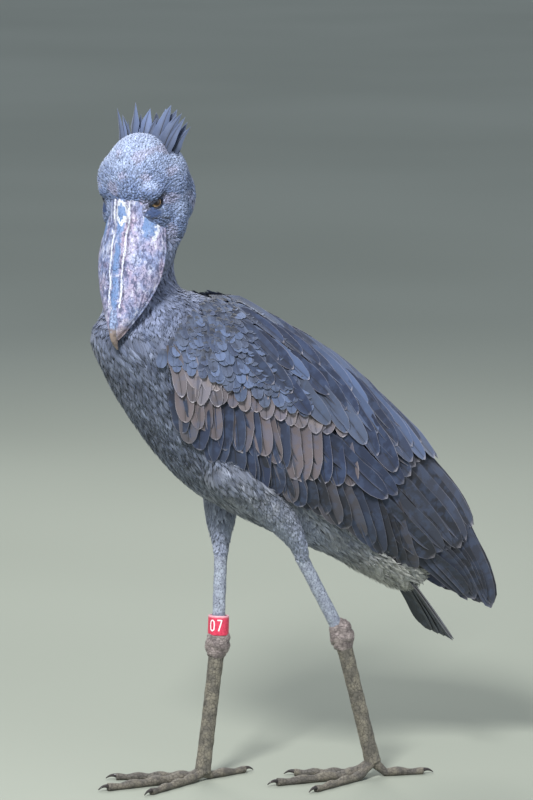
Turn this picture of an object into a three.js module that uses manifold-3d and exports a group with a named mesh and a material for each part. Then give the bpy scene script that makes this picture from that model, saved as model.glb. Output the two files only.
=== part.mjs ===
// A standing shoebill, life size, in millimetres. It faces -Y, its left is +X and +Z is up.
import * as THREE from 'three';
import { mergeVertices } from 'three/addons/utils/BufferGeometryUtils.js';
import Module from 'manifold-3d';

const wasm = await Module();
wasm.setup();

// Driving dimensions of the body.
const GAP = 0.3;
const BODY_TILT = 40;
const ORIGIN_SHIFT = new THREE.Vector3(0, -11, 0);
const BODY_SIDES = 20;

// Torso sections: distance along the sloping back, top, bottom and half width.
const TORSO = [
  [-744, 384, 356, 14], [-728, 428, 342, 52], [-690, 490, 323, 82], [-640, 514, 303, 101],
  [-590, 529, 288, 113], [-520, 541, 271, 120], [-440, 553, 264, 121], [-360, 558, 277, 117],
  [-280, 552, 296, 108], [-200, 533, 318, 94], [-120, 498, 335, 74], [-60, 458, 348, 52],
  [-30, 436, 358, 34],
];

// The folded wings wrap a slightly larger body: distance, centre, half height and half width.
const WING_FORM = [
  [-700, 410, 94, 84], [-640, 412, 107, 104], [-590, 412, 121, 116], [-520, 410, 135, 123],
  [-440, 412, 146, 124], [-360, 420, 143, 120], [-280, 428, 131, 112], [-200, 438, 115, 100],
  [-120, 446, 97, 86], [-60, 450, 81, 74], [0, 448, 62, 62], [60, 436, 46, 46], [130, 410, 30, 28],
];
const WING_CORE = { from: -648, to: -36, step: 61.2, thick: 3, sunk: 12, arcPoints: 7 };

// Head: the culmen meets the forehead at HEAD_BASE; the bill hangs 80 degrees down from level.
const HEAD_BASE = new THREE.Vector3(48, -308, 953);
const HEAD_AZIMUTH = 36;
const BILL_LEAN = 10;
// Bill sections: distance from the forehead, ridge height, half width and depth of the lip.
const BILL = [
  [-34, 8, 44, 50], [-10, 3, 47, 52], [16, 0, 49, 53], [40, 0, 53, 52], [62, 1, 57, 50],
  [86, 1, 57.5, 47], [112, 0, 53, 44], [136, -1, 45, 39], [158, -2, 35, 33], [176, -2, 25, 27],
  [192, -1, 15, 22],
];
const HOOK = [[178, 6, 11, 7], [194, 7, 9.5, 8], [206, 11, 7, 8], [214, 16, 4.5, 6], [220, 23, 2, 3]];
const JAW_DEPTH = 29;
const EYE = { along: -12, depth: 31, side: 37.5, radius: 14 };
const CREST_FEATHERS = 11;
const TAIL_QUILLS = 10;

// Legs: joint centres on each side, with +X to the bird's left.
const LEG = {
  left: {
    thigh: [[66, -150, 535, 46, 40], [72, -118, 505, 42, 36], [76, -72, 468, 36, 30],
      [70, -38, 432, 28, 23], [64, -14, 398, 19, 15], [60, -4, 372, 11.5, 11]],
    knee: [60, -4, 372], ankle: [55, 67, 242], foot: [46, 128, 24],
  },
  right: {
    thigh: [[-60, -86, 520, 46, 40], [-64, -88, 488, 42, 36], [-64, -92, 452, 34, 30],
      [-58, -96, 414, 27, 22], [-51, -99, 384, 16, 14], [-47, -101, 362, 11, 11]],
    knee: [-47, -101, 362], ankle: [-36, -111, 227], foot: [-46, -134, 12],
  },
};
const SHANK = { side: 9, fore: 10.5 };
const ANKLE = { side: 15, fore: 20.5, tall: 30 };
const TARSUS = { side: 9.5, fore: 12.5 };
// Toes: name, angle from straight ahead (outwards positive), length and root radius.
const TOES = [
  ['hind', 168, 84, 7.5], ['inner', -27, 128, 7.5], ['middle', -2, 168, 8.5], ['outer', 24, 140, 7.5],
];
const CLAW = { length: 21, radius: 4.3 };
const BAND = { inner: 14.8, outer: 17, tall: 32 };

const COLOURS = {
  head: 0xa9b6d2, bill: 0xb3b2c9, eye: 0x2b211a, neck: 0x8a93b0, torso: 0x6f7886, wing: 0x5a6680,
  tail: 0x2b333d, thigh: 0x98a1b8, shank: 0xa6aeba, ankle: 0x968c8a, tarsus: 0x7e796a,
  claw: 0x2f2b28, band: 0xe1456b,
};

const V = (x, y, z) => new THREE.Vector3(x, y, z);
const rad = (degrees) => degrees * Math.PI / 180;
const mix = (a, b, k) => a + (b - a) * k;

// Seeded draw, so that the feathers vary in the same way every time.
let seed = 20251;
function draw(low, high) {
  seed = (seed * 16807) % 2147483647;
  return low + (high - low) * (seed / 2147483647);
}

// Reads a table of sections at any distance, with a smooth curve through its rows.
function section(table, at) {
  const last = table.length - 1;
  if (at <= table[0][0]) return table[0].slice(1);
  if (at >= table[last][0]) return table[last].slice(1);
  const i = table.findIndex((row) => row[0] > at) - 1;
  const [a, b] = [table[i], table[i + 1]];
  const [before, after] = [table[Math.max(i - 1, 0)], table[Math.min(i + 2, last)]];
  const k = (at - a[0]) / (b[0] - a[0]);
  const span = b[0] - a[0];
  return a.slice(1).map((value, c) => {
    const slopeA = (b[c + 1] - before[c + 1]) / (b[0] - before[0]) * span;
    const slopeB = (after[c + 1] - a[c + 1]) / (after[0] - a[0]) * span;
    const k2 = k * k;
    const k3 = k2 * k;
    return (2 * k3 - 3 * k2 + 1) * value + (k3 - 2 * k2 + k) * slopeA
      + (3 * k2 - 2 * k3) * b[c + 1] + (k3 - k2) * slopeB;
  });
}

// Solids.
function solidOf(geometry, matrix = null) {
  const g = geometry.clone();
  if (matrix) g.applyMatrix4(matrix);
  g.deleteAttribute('normal');
  g.deleteAttribute('uv');
  const merged = mergeVertices(g, 1e-4);
  return new wasm.Manifold(new wasm.Mesh({
    numProp: 3,
    vertProperties: new Float32Array(merged.attributes.position.array),
    triVerts: new Uint32Array(merged.index.array),
  }));
}

function meshSolid(points, triangles) {
  const g = new THREE.BufferGeometry();
  g.setAttribute('position', new THREE.Float32BufferAttribute(points.flatMap((p) => [p.x, p.y, p.z]), 3));
  g.setIndex(triangles.flat());
  return solidOf(g);
}

// Skins closed rings of equal count; each ring runs anticlockwise seen from the last ring.
function loft(rings) {
  const n = rings[0].length;
  const points = rings.flat();
  const triangles = [];
  for (let r = 0; r + 1 < rings.length; r += 1) {
    for (let i = 0; i < n; i += 1) {
      const j = (i + 1) % n;
      const [a, b, c, d] = [r * n + i, r * n + j, (r + 1) * n + j, (r + 1) * n + i];
      triangles.push([a, b, c], [a, c, d]);
    }
  }
  const centre = (ring) => ring.reduce((sum, p) => sum.add(p), V(0, 0, 0)).divideScalar(n);
  const start = points.push(centre(rings[0])) - 1;
  const end = points.push(centre(rings.at(-1))) - 1;
  const lastRow = (rings.length - 1) * n;
  for (let i = 0; i < n; i += 1) {
    const j = (i + 1) % n;
    triangles.push([start, j, i], [end, lastRow + i, lastRow + j]);
  }
  const made = meshSolid(points, triangles);
  return made.volume() > 0 ? made : meshSolid(points, triangles.map(([a, b, c]) => [a, c, b]));
}

function ring(centre, across, up, sides) {
  return Array.from({ length: sides }, (_, i) => {
    const angle = 2 * Math.PI * i / sides;
    return centre.clone().addScaledVector(across, Math.cos(angle)).addScaledVector(up, Math.sin(angle));
  });
}

// A tube of elliptical sections; rows give x, y, z, half width along side, and half depth.
function limb(rows, side, sides, extra = 0) {
  const centres = rows.map(([x, y, z]) => V(x, y, z));
  const rings = centres.map((c, i) => {
    const ahead = centres[Math.min(i + 1, centres.length - 1)];
    const along = ahead.clone().sub(centres[Math.max(i - 1, 0)]).normalize();
    const fore = along.clone().cross(side).normalize();
    const across = fore.clone().cross(along).normalize();
    const [wide, deep] = [rows[i][3] + extra, rows[i][4] + extra];
    return ring(c, across.multiplyScalar(wide), fore.multiplyScalar(deep), sides);
  });
  return loft(rings);
}

function ball(centre, axes, radii, width, height) {
  const [a, b, c] = axes.map((axis, i) => axis.clone().multiplyScalar(radii[i]));
  const handed = a.clone().cross(b).dot(c) > 0 ? 1 : -1;
  const matrix = new THREE.Matrix4().makeBasis(a, b, c.multiplyScalar(handed)).setPosition(centre);
  return solidOf(new THREE.SphereGeometry(1, width, height), matrix);
}

const union = (solids) => wasm.Manifold.union(solids);

// Steps back from a neighbour by the gap in every direction.
function clearOf(solid, neighbour, gap = GAP) {
  const moves = [[0, 0, 0], ...[-1, 1].flatMap((s) => [[s * gap, 0, 0], [0, s * gap, 0], [0, 0, s * gap]])];
  const plain = neighbour.asOriginal();
  return moves.reduce((left, move) => left.subtract(plain.translate(move)).asOriginal(), solid);
}

function largest(solid) {
  return solid.decompose().sort((a, b) => b.volume() - a.volume())[0].asOriginal();
}

function halfSpace(min, max) {
  const size = V(...max).sub(V(...min));
  const centre = V(...min).add(V(...max)).multiplyScalar(0.5);
  return solidOf(new THREE.BoxGeometry(size.x, size.y, size.z), new THREE.Matrix4().setPosition(centre));
}

// A feather vane: a thin pointed lens in section, wide in its middle, along a path of points.
const VANE_SHAPE = [[0, 0.45], [0.42, 1], [0.82, 0.78], [1, 0.22]];
const QUILL_SHAPE = [[0, 0.45], [0.3, 0.92], [0.62, 1], [0.87, 0.72], [1, 0.22]];
function vane(place, width, thick, shape = VANE_SHAPE) {
  const points = [];
  for (const [k, wide] of shape) {
    const { point, normal, along } = place(k);
    const across = normal.clone().cross(along).normalize().multiplyScalar(wide * width / 2);
    const half = normal.clone().multiplyScalar(mix(thick, thick * 0.55, k) / 2);
    points.push(point.clone().sub(across), point.clone().add(half),
      point.clone().add(across), point.clone().sub(half));
  }
  const triangles = [[0, 1, 3], [1, 2, 3]];
  for (let r = 0; r + 1 < shape.length; r += 1) {
    const [l, t, q, b] = [0, 1, 2, 3].map((i) => 4 * r + i);
    const [l2, t2, q2, b2] = [l + 4, t + 4, q + 4, b + 4];
    triangles.push([l, l2, t2], [l, t2, t], [q, t2, q2], [q, t, t2]);
    triangles.push([l, b2, l2], [l, b, b2], [q, q2, b2], [q, b2, b]);
  }
  const e = 4 * (shape.length - 1);
  triangles.push([e, e + 3, e + 1], [e + 1, e + 3, e + 2]);
  const made = meshSolid(points, triangles);
  return made.volume() > 0 ? made : meshSolid(points, triangles.map(([a, c, d]) => [a, d, c]));
}

// Points in the frame of the sloping back: along it, height off it, and sideways.
const TILT_COS = Math.cos(rad(BODY_TILT));
const TILT_SIN = Math.sin(rad(BODY_TILT));
const body = (t, s, x) => V(x, TILT_COS * t + TILT_SIN * s, TILT_COS * s - TILT_SIN * t);

function torsoSolid(extra) {
  const rings = TORSO.map(([t, top, bottom, wide]) => {
    const up = body(0, (top - bottom) / 2 + extra, 0);
    return ring(body(t, (top + bottom) / 2, 0), V(wide + extra, 0, 0), up, BODY_SIDES);
  });
  return loft(rings);
}

// Wing surface: phi runs from the belly edge (negative) up to the spine (90 degrees).
function onWing(t, phi, lift, hand) {
  const [centre, tall, wide] = section(WING_FORM, t);
  const x = (wide + lift) * Math.cos(rad(phi));
  return body(t, centre + (tall + lift) * Math.sin(rad(phi)), hand * x);
}

function wingNormal(t, phi, hand) {
  const [, tall, wide] = section(WING_FORM, t);
  const [, tallNext, wideNext] = section(WING_FORM, t + 20);
  const n = body(0, Math.sin(rad(phi)) / tall, hand * Math.cos(rad(phi)) / wide).normalize();
  const slope = (tall + wide - tallNext - wideNext) / 40;
  return n.addScaledVector(body(1, 0, 0), slope * 0.8).normalize();
}

const lowEdge = (t) => -37 - 22 * THREE.MathUtils.smoothstep(t, -110, 30);
const highEdge = (t) => mix(62, 84, THREE.MathUtils.smoothstep(t, -640, -520));

function wingCore(hand) {
  const { from, to, step, thick, sunk, arcPoints } = WING_CORE;
  const rings = [];
  for (let t = from; t <= to; t += step) {
    const ends = Math.min(1, 0.45 + (t - from) / 90, 0.35 + (to - t) / 90);
    const outer = [];
    const inner = [];
    for (let i = 0; i < arcPoints; i += 1) {
      const k = i / (arcPoints - 1);
      const narrowing = (1 - ends) * 22;
      const phi = mix(lowEdge(t) + narrowing, highEdge(t) - narrowing, k);
      const edge = Math.sin(Math.PI * mix(0.08, 0.92, k)) ** 0.5;
      outer.push(onWing(t, phi, thick * edge * ends - 1, hand));
      inner.unshift(onWing(t, phi, -sunk * edge * ends - 2, hand));
    }
    rings.push([...outer, ...inner]);
  }
  return loft(rings);
}

// One feather lying on the wing, its tip turned down from the back's line by `turn` degrees.
function wingFeather(hand, f) {
  const reach = (k) => {
    const along = k * f.length;
    const t = f.t + Math.cos(rad(f.turn)) * along;
    const [, tall, wide] = section(WING_FORM, t);
    const round = Math.sqrt((wide * Math.sin(rad(f.phi))) ** 2 + (tall * Math.cos(rad(f.phi))) ** 2);
    const phi = f.phi - Math.sin(rad(f.turn)) * along / round * 180 / Math.PI;
    const lift = k < 0.3 ? mix(f.root, f.low, k / 0.3) : mix(f.low, f.high, (k - 0.3) / 0.7);
    return { point: onWing(t, phi, lift, hand), t, phi };
  };
  const place = (k) => {
    const here = reach(k);
    const along = reach(Math.min(k + 0.05, 1)).point.sub(reach(Math.max(k - 0.05, 0)).point).normalize();
    const normal = wingNormal(here.t, here.phi, hand);
    const side = normal.clone().cross(along).normalize();
    normal.addScaledVector(side, hand * f.shingle).normalize();
    return { point: here.point, normal, along };
  };
  return vane(place, f.width, f.thick, f.length > 120 ? QUILL_SHAPE : VANE_SHAPE);
}

// A tier of feathers between two places on the wing, root to root.
function tier(hand, count, a, b, shared) {
  return Array.from({ length: count }, (_, i) => {
    const k = count > 1 ? i / (count - 1) : 0;
    const f = { root: -6, thick: 2.6, shingle: 0.16, ...shared };
    for (const key of ['t', 'phi', 'turn', 'length', 'width']) f[key] = mix(a[key], b[key], k);
    f.length *= draw(0.94, 1.06);
    f.turn += draw(-3, 3);
    return wingFeather(hand, f);
  });
}

function wing(hand) {
  const feathers = [
    // Primaries: the long outer quills that end past the tail.
    ...tier(hand, 5,
      { t: -180, phi: -26, turn: 5, length: 262, width: 34 },
      { t: -140, phi: 34, turn: 5, length: 250, width: 34 },
      { low: 3, high: 5, thick: 3.2 }),
    // Secondaries along the lower edge, then tertials up to the back.
    ...tier(hand, 7,
      { t: -400, phi: -22, turn: 28, length: 140, width: 40 },
      { t: -170, phi: -12, turn: 14, length: 190, width: 40 },
      { low: 6, high: 9 }),
    ...tier(hand, 5,
      { t: -210, phi: 16, turn: 6, length: 190, width: 38 },
      { t: -200, phi: 72, turn: 2, length: 170, width: 38 },
      { low: 7, high: 10 }),
    // Greater, median and lesser coverts.
    ...tier(hand, 8,
      { t: -590, phi: -10, turn: 44, length: 74, width: 36 },
      { t: -260, phi: 8, turn: 24, length: 96, width: 38 },
      { low: 9, high: 13 }),
    ...tier(hand, 8,
      { t: -610, phi: 10, turn: 46, length: 52, width: 33 },
      { t: -310, phi: 26, turn: 28, length: 60, width: 35 },
      { low: 10, high: 15 }),
    // Scapulars: broad feathers from the shoulder down the side of the back.
    ...tier(hand, 5,
      { t: -520, phi: 44, turn: 10, length: 110, width: 36 },
      { t: -330, phi: 38, turn: 8, length: 130, width: 38 },
      { low: 10, high: 14 }),
    ...tier(hand, 5,
      { t: -560, phi: 68, turn: 4, length: 110, width: 38 },
      { t: -300, phi: 68, turn: 2, length: 140, width: 40 },
      { low: 9, high: 13 }),
  ];
  return union([wingCore(hand), ...feathers]);
}

// Head frame: along the bill, depth behind the culmen, and towards the bird's left.
const FACING = V(Math.sin(rad(HEAD_AZIMUTH)), -Math.cos(rad(HEAD_AZIMUTH)), 0);
const BILL_AXIS = FACING.clone().multiplyScalar(Math.sin(rad(BILL_LEAN))).setZ(-Math.cos(rad(BILL_LEAN)));
const CULMEN_OUT = FACING.clone().multiplyScalar(Math.cos(rad(BILL_LEAN))).setZ(Math.sin(rad(BILL_LEAN)));
const HEAD_LEFT = V(Math.cos(rad(HEAD_AZIMUTH)), Math.sin(rad(HEAD_AZIMUTH)), 0);
const head = (along, depth, side) => HEAD_BASE.clone().addScaledVector(BILL_AXIS, along)
  .addScaledVector(CULMEN_OUT, -depth).addScaledVector(HEAD_LEFT, side);
const HEAD_AXES = [BILL_AXIS, CULMEN_OUT, HEAD_LEFT];

function skull(extra) {
  const grow = (radii) => radii.map((r) => r + extra);
  return union([
    ball(head(-52, 44, 0), HEAD_AXES, grow([70, 56, 57]), 18, 12),
    ball(head(-43, 74, 2), HEAD_AXES, grow([70, 62, 60]), 16, 11),
    ball(head(-26, 98, 4), HEAD_AXES, grow([60, 58, 54]), 16, 10),
    ball(head(2, 52, 0), HEAD_AXES, grow([46, 46, 55]), 16, 10),
  ]);
}

function crest() {
  return Array.from({ length: CREST_FEATHERS }, (_, i) => {
    const k = mix(-1, 1, i / (CREST_FEATHERS - 1));
    const side = 40 * k;
    const depth = 70 - 10 * k * k + (i % 2) * 14;
    const root = -78 + 20 * k * k;
    const tip = -158 + 16 * k * k + draw(-6, 6);
    const place = (q) => ({
      point: head(mix(root, tip, q), depth + 12 * q * q, side * (1 + 0.5 * q * q)),
      along: head(tip - root, 24 * q, side * q).sub(HEAD_BASE).normalize(),
      normal: CULMEN_OUT.clone().addScaledVector(HEAD_LEFT, 0.5 * k).normalize(),
    });
    return vane(place, 15, 3, [[0, 0.7], [0.55, 1], [1, 0.12]]);
  });
}

// Each eye looks forwards and outwards; a lid rim rings it and a brow hangs over it.
const gaze = (hand) => head(0, -0.62, hand * 0.785).sub(HEAD_BASE);

function lids(hand) {
  const { along, depth, side, radius } = EYE;
  const look = gaze(hand);
  const rimPlace = new THREE.Matrix4().makeBasis(
    BILL_AXIS.clone().cross(look).negate().normalize(),
    BILL_AXIS,
    look,
  ).setPosition(head(along, depth, hand * side).addScaledVector(look, radius * 0.62));
  if (rimPlace.determinant() < 0) rimPlace.scale(V(-1, 1, 1));
  const rim = solidOf(new THREE.TorusGeometry(radius * 0.82, 2.6, 4, 10), rimPlace);
  const brow = ball(head(along - 15, depth - 8, hand * (side + 5)), HEAD_AXES, [8, 15, 10], 10, 6);
  return union([rim, brow]);
}

function eyeBall(hand, extra) {
  const { along, depth, side, radius } = EYE;
  const r = radius + extra;
  return ball(head(along, depth, hand * side), HEAD_AXES, [r, r, r], 12, 8);
}

function billRing([along, ridge, wide, lip], extra) {
  const sides = 7;
  const points = [];
  for (let i = -sides; i <= sides; i += 1) {
    const k = i / sides;
    const a = Math.abs(k);
    const across = wide * Math.sin(a * Math.PI / 2) ** 0.82;
    const depth = mix(-ridge, lip, (1 - Math.cos(a * Math.PI / 2)) ** 0.8);
    const keel = a < 0.12 ? -1.6 : 0;
    const outward = depth < 0.5 * lip ? -extra : 0;
    points.push(head(along, depth + keel + outward, Math.sign(k) * (across + extra)));
  }
  points.push(head(along, lip + extra, wide * 0.6));
  points.push(head(along, lip + extra, -wide * 0.6));
  return points;
}

function upperBill(extra) {
  const upper = loft(BILL.map((row) => billRing(row, extra)));
  const hook = loft(HOOK.map(([along, depth, wide, deep]) => ring(
    head(along, depth, 0),
    HEAD_LEFT.clone().multiplyScalar(wide + extra),
    CULMEN_OUT.clone().multiplyScalar(deep + extra),
    8,
  )));
  if (extra > 0) return union([upper, hook]);
  // Nostrils: a slit on each side of the culmen near the forehead.
  const slits = [-1, 1].map((hand) => {
    const at = head(33, 5, hand * 14);
    return ball(at, HEAD_AXES, [9, 7, 1.5], 8, 6);
  });
  return union([upper, hook]).subtract(union(slits));
}

function lowerBill(extra) {
  const rings = BILL.filter(([along]) => along < 190).map(([along, , wide, lip]) => {
    const half = wide * 0.93 + extra;
    const deep = JAW_DEPTH * Math.min(1, (206 - along) / 110) + extra;
    return ring(head(along, lip, 0), HEAD_LEFT.clone().multiplyScalar(half),
      CULMEN_OUT.clone().multiplyScalar(-deep), 18);
  });
  return loft(rings);
}

function neckSolid(extra) {
  return limb([
    [-9, -226, 985, 44, 44], [-12, -232, 930, 46, 46], [-15, -238, 890, 43, 44],
    [-17, -243, 850, 43, 46], [-15, -246, 815, 52, 56], [-9, -248, 785, 70, 66],
    [-3, -240, 745, 84, 70],
  ], V(1, 0, 0), 18, extra);
}

// Tail: a short core of undertail coverts and a fan of quills.
function tailSolid() {
  const core = loft([
    [-120, 372, 44, 34], [-70, 378, 40, 33], [-20, 378, 36, 22], [20, 376, 28, 13], [44, 371, 18, 8],
  ].map(([t, s, wide, tall]) => ring(body(t, s, 0), V(wide, 0, 0), body(0, tall, 0), 12)));
  const quills = Array.from({ length: TAIL_QUILLS }, (_, i) => {
    const k = mix(-1, 1, i / (TAIL_QUILLS - 1));
    const lift = 4 * Math.abs(k) + (i % 2 ? 1.6 : -1.6);
    const place = (q) => {
      const t = mix(-50, 84 - 16 * k * k, q);
      const point = body(t, mix(381, 345, q ** 1.2) - lift, k * mix(24, 50, q));
      const along = body(134, -36, k * 26).normalize();
      const normal = body(36, 134, 0).normalize().addScaledVector(V(1, 0, 0), k * 0.25).normalize();
      return { point, along, normal };
    };
    return vane(place, 29, 3, [[0, 0.6], [0.5, 1], [0.88, 0.95], [1, 0.4]]);
  });
  return union([core, ...quills]);
}

function toe(foot, hand, [name, angle, length, radius], extra) {
  const turn = rad(angle);
  const away = V(hand * Math.sin(turn), -Math.cos(turn), 0);
  const side = V(0, 0, 1).cross(away);
  const joints = 6;
  const rows = [];
  for (let i = 0; i <= joints; i += 1) {
    const k = i / joints;
    const r = radius * mix(1.05, 0.68, k) * (1 + 0.12 * Math.cos(k * Math.PI * (name === 'hind' ? 4 : 8)));
    const drop = Math.max(r * 0.9, mix(foot[2], 0, Math.min(1, k * 3.2)) + r * 0.2);
    const p = V(foot[0], foot[1], 0).addScaledVector(away, k * length);
    rows.push([p.x, p.y, drop, r, r]);
  }
  const tip = rows.at(-1);
  const claw = [0, 0.4, 0.75, 1].map((k) => {
    const p = V(tip[0], tip[1], 0).addScaledVector(away, k * CLAW.length - 4);
    const r = mix(CLAW.radius, 0.7, k);
    return [p.x, p.y, Math.max(r * 0.92, tip[2] + 3.5 * Math.sin(k * Math.PI * 0.8) - 5 * k * k), r, r];
  });
  return { toe: limb(rows, side, 9, extra), claw: limb(claw, side, 6) };
}

function bandSolid() {
  const { knee, ankle } = LEG.right;
  const axis = V(...knee).sub(V(...ankle)).normalize();
  const base = V(...ankle).addScaledVector(axis, 13.5);
  const { inner, outer, tall } = BAND;
  const profile = [[inner, 0], [outer, 0], [outer, tall], [inner, tall], [inner, 0]];
  const shape = new THREE.LatheGeometry(profile.map(([r, h]) => new THREE.Vector2(r, h)), 20);
  const turn = new THREE.Quaternion().setFromUnitVectors(V(0, 1, 0), axis);
  return solidOf(shape, new THREE.Matrix4().compose(base, turn, V(1, 1, 1)));
}

// Assembly: each piece is cut clear of the neighbours that it meets.
const pieces = new Map();
const FLOOR = halfSpace([-900, -900, -300], [900, 900, 0]);

const torso = torsoSolid(0);
const torsoRoom = torsoSolid(GAP);
pieces.set('torso', [torso, COLOURS.torso]);

const headSolid = largest(union([skull(0), lids(1), lids(-1), ...crest()])
  .subtract(union([eyeBall(1, GAP), eyeBall(-1, GAP)])));
const faceRoom = union([skull(GAP), eyeBall(1, GAP), eyeBall(-1, GAP)]);
const upper = largest(upperBill(0).subtract(faceRoom));
const jaw = largest(lowerBill(0).subtract(union([faceRoom, upperBill(GAP)])));
pieces.set('head', [headSolid, COLOURS.head]);
pieces.set('bill_upper', [upper, COLOURS.bill]);
pieces.set('bill_lower', [jaw, COLOURS.bill]);
pieces.set('eye_left', [eyeBall(1, 0), COLOURS.eye]);
pieces.set('eye_right', [eyeBall(-1, 0), COLOURS.eye]);

const neckRoom = union([torsoRoom, faceRoom, upperBill(GAP), lowerBill(GAP)]);
pieces.set('neck', [largest(neckSolid(0).subtract(neckRoom)), COLOURS.neck]);
pieces.set('tail', [largest(tailSolid().subtract(torsoRoom)), COLOURS.tail]);

// A straight length of leg between two joints, slightly waisted.
function bar(from, to, size, start, end, extra) {
  const rows = [start, mix(start, end, 0.5), end].map((k) => {
    const wide = mix(1.06, 0.97, k);
    return [...V(...from).lerp(V(...to), k).toArray(), size.side * wide, size.fore * wide];
  });
  return limb(rows, V(1, 0, 0), 14, extra);
}

function ankleSolid(leg, extra) {
  const down = V(...leg.foot).sub(V(...leg.ankle)).normalize();
  const across = V(1, 0, 0);
  const axes = [across, down.clone().cross(across).normalize(), down];
  return ball(V(...leg.ankle), axes, [ANKLE.side + extra, ANKLE.fore + extra, ANKLE.tall + extra], 16, 10);
}

for (const [side, hand] of [['left', 1], ['right', -1]]) {
  const edge = hand * 0.2;
  const ownHalf = hand > 0
    ? halfSpace([edge, -900, -300], [900, 900, 1600])
    : halfSpace([-900, -900, -300], [edge, 900, 1600]);
  const wingSolid = largest(wing(hand).intersect(ownHalf).subtract(torsoRoom));
  const leg = LEG[side];
  const thighRoom = limb(leg.thigh, V(1, 0, 0), 18, GAP);
  const thigh = largest(clearOf(limb(leg.thigh, V(1, 0, 0), 18).subtract(torsoRoom), wingSolid));
  const shank = bar(leg.knee, leg.ankle, SHANK, -0.1, 1, 0);
  const tarsus = bar(leg.ankle, leg.foot, TARSUS, 0, 1.02, 0);
  const ankleRoom = ankleSolid(leg, GAP);
  pieces.set(`wing_${side}`, [wingSolid, COLOURS.wing]);
  pieces.set(`thigh_${side}`, [thigh, COLOURS.thigh]);
  pieces.set(`shank_${side}`, [largest(shank.subtract(union([thighRoom, ankleRoom]))), COLOURS.shank]);
  pieces.set(`ankle_${side}`, [ankleSolid(leg, 0), COLOURS.ankle]);
  pieces.set(`tarsus_${side}`, [largest(tarsus.subtract(union([ankleRoom, FLOOR]))), COLOURS.tarsus]);

  let room = union([bar(leg.ankle, leg.foot, TARSUS, 0, 1.02, GAP), FLOOR]);
  for (const row of TOES) {
    const made = toe(leg.foot, hand, row, 0);
    const grown = toe(leg.foot, hand, row, GAP);
    const claw = largest(made.claw.subtract(union([grown.toe, FLOOR])));
    pieces.set(`toe_${row[0]}_${side}`, [largest(made.toe.subtract(room)), COLOURS.tarsus]);
    pieces.set(`claw_${row[0]}_${side}`, [claw, COLOURS.claw]);
    room = union([room, grown.toe]);
  }
}

const bandShank = bar(LEG.right.knee, LEG.right.ankle, SHANK, -0.1, 1, GAP);
const bandRoom = union([ankleSolid(LEG.right, GAP), bandShank]);
pieces.set('leg_band', [largest(bandSolid().subtract(bandRoom)), COLOURS.band]);

const group = new THREE.Group();
group.position.copy(ORIGIN_SHIFT);
for (const [name, [solid, colour]] of pieces) {
  const { numProp, vertProperties, triVerts } = solid.getMesh();
  const positions = [];
  for (let i = 0; i < vertProperties.length; i += numProp) {
    positions.push(vertProperties[i], vertProperties[i + 1], vertProperties[i + 2]);
  }
  const geometry = new THREE.BufferGeometry();
  geometry.setAttribute('position', new THREE.Float32BufferAttribute(positions, 3));
  geometry.setIndex([...triVerts]);
  geometry.computeVertexNormals();
  const finish = new THREE.MeshStandardMaterial({ color: colour, roughness: 0.85, metalness: 0 });
  const mesh = new THREE.Mesh(geometry, finish);
  mesh.name = name;
  group.add(mesh);
}

export default group;
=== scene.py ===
import logging
import math
from dataclasses import dataclass, field
from enum import Enum
from functools import cache
from typing import Callable, Sequence

import bpy
import numpy as np
from mathutils import Matrix, Vector
from mathutils.bvhtree import BVHTree


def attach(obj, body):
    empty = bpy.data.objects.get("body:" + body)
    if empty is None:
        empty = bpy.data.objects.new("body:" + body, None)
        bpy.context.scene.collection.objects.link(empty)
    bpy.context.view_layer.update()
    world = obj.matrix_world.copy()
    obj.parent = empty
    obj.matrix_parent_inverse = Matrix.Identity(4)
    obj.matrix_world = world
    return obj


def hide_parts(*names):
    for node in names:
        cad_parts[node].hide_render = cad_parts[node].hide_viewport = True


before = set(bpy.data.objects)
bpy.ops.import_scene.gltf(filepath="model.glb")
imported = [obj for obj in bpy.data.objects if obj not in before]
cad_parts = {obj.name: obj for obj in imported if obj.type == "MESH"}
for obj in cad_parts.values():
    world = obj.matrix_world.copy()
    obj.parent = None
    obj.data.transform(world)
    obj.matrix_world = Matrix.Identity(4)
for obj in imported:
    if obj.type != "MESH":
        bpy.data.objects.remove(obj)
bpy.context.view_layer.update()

LOG = logging.getLogger("shoebill")

# Millimetres to metres, and the place of the modelling origin in the shared frame.
MM = 0.001
ORIGIN_SHIFT = np.array([0.0, -11.0, 0.0])
BODY = "root"

Array = np.ndarray
Piece = bpy.types.Object
Material = bpy.types.Material
Node = bpy.types.Node
Socket = bpy.types.NodeSocket
Placing = Callable[[Array, Array], Array]
Colour = tuple[float, float, float, float]

# The sloping back: sections of the torso, and of the slightly larger form the folded wings wrap.
TILT = math.radians(40)
TORSO = np.array([
    [-744, 384, 356, 14], [-728, 428, 342, 52], [-690, 490, 323, 82], [-640, 514, 303, 101],
    [-590, 529, 288, 113], [-520, 541, 271, 120], [-440, 553, 264, 121], [-360, 558, 277, 117],
    [-280, 552, 296, 108], [-200, 533, 318, 94], [-120, 498, 335, 74], [-60, 458, 348, 52],
    [-30, 436, 358, 34],
], float)
WING_FORM = np.array([
    [-700, 410, 94, 84], [-640, 412, 107, 104], [-590, 412, 121, 116], [-520, 410, 135, 123],
    [-440, 412, 146, 124], [-360, 420, 143, 120], [-280, 428, 131, 112], [-200, 438, 115, 100],
    [-120, 446, 97, 86], [-60, 450, 81, 74], [0, 448, 62, 62], [60, 436, 46, 46], [130, 410, 30, 28],
], float)

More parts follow.
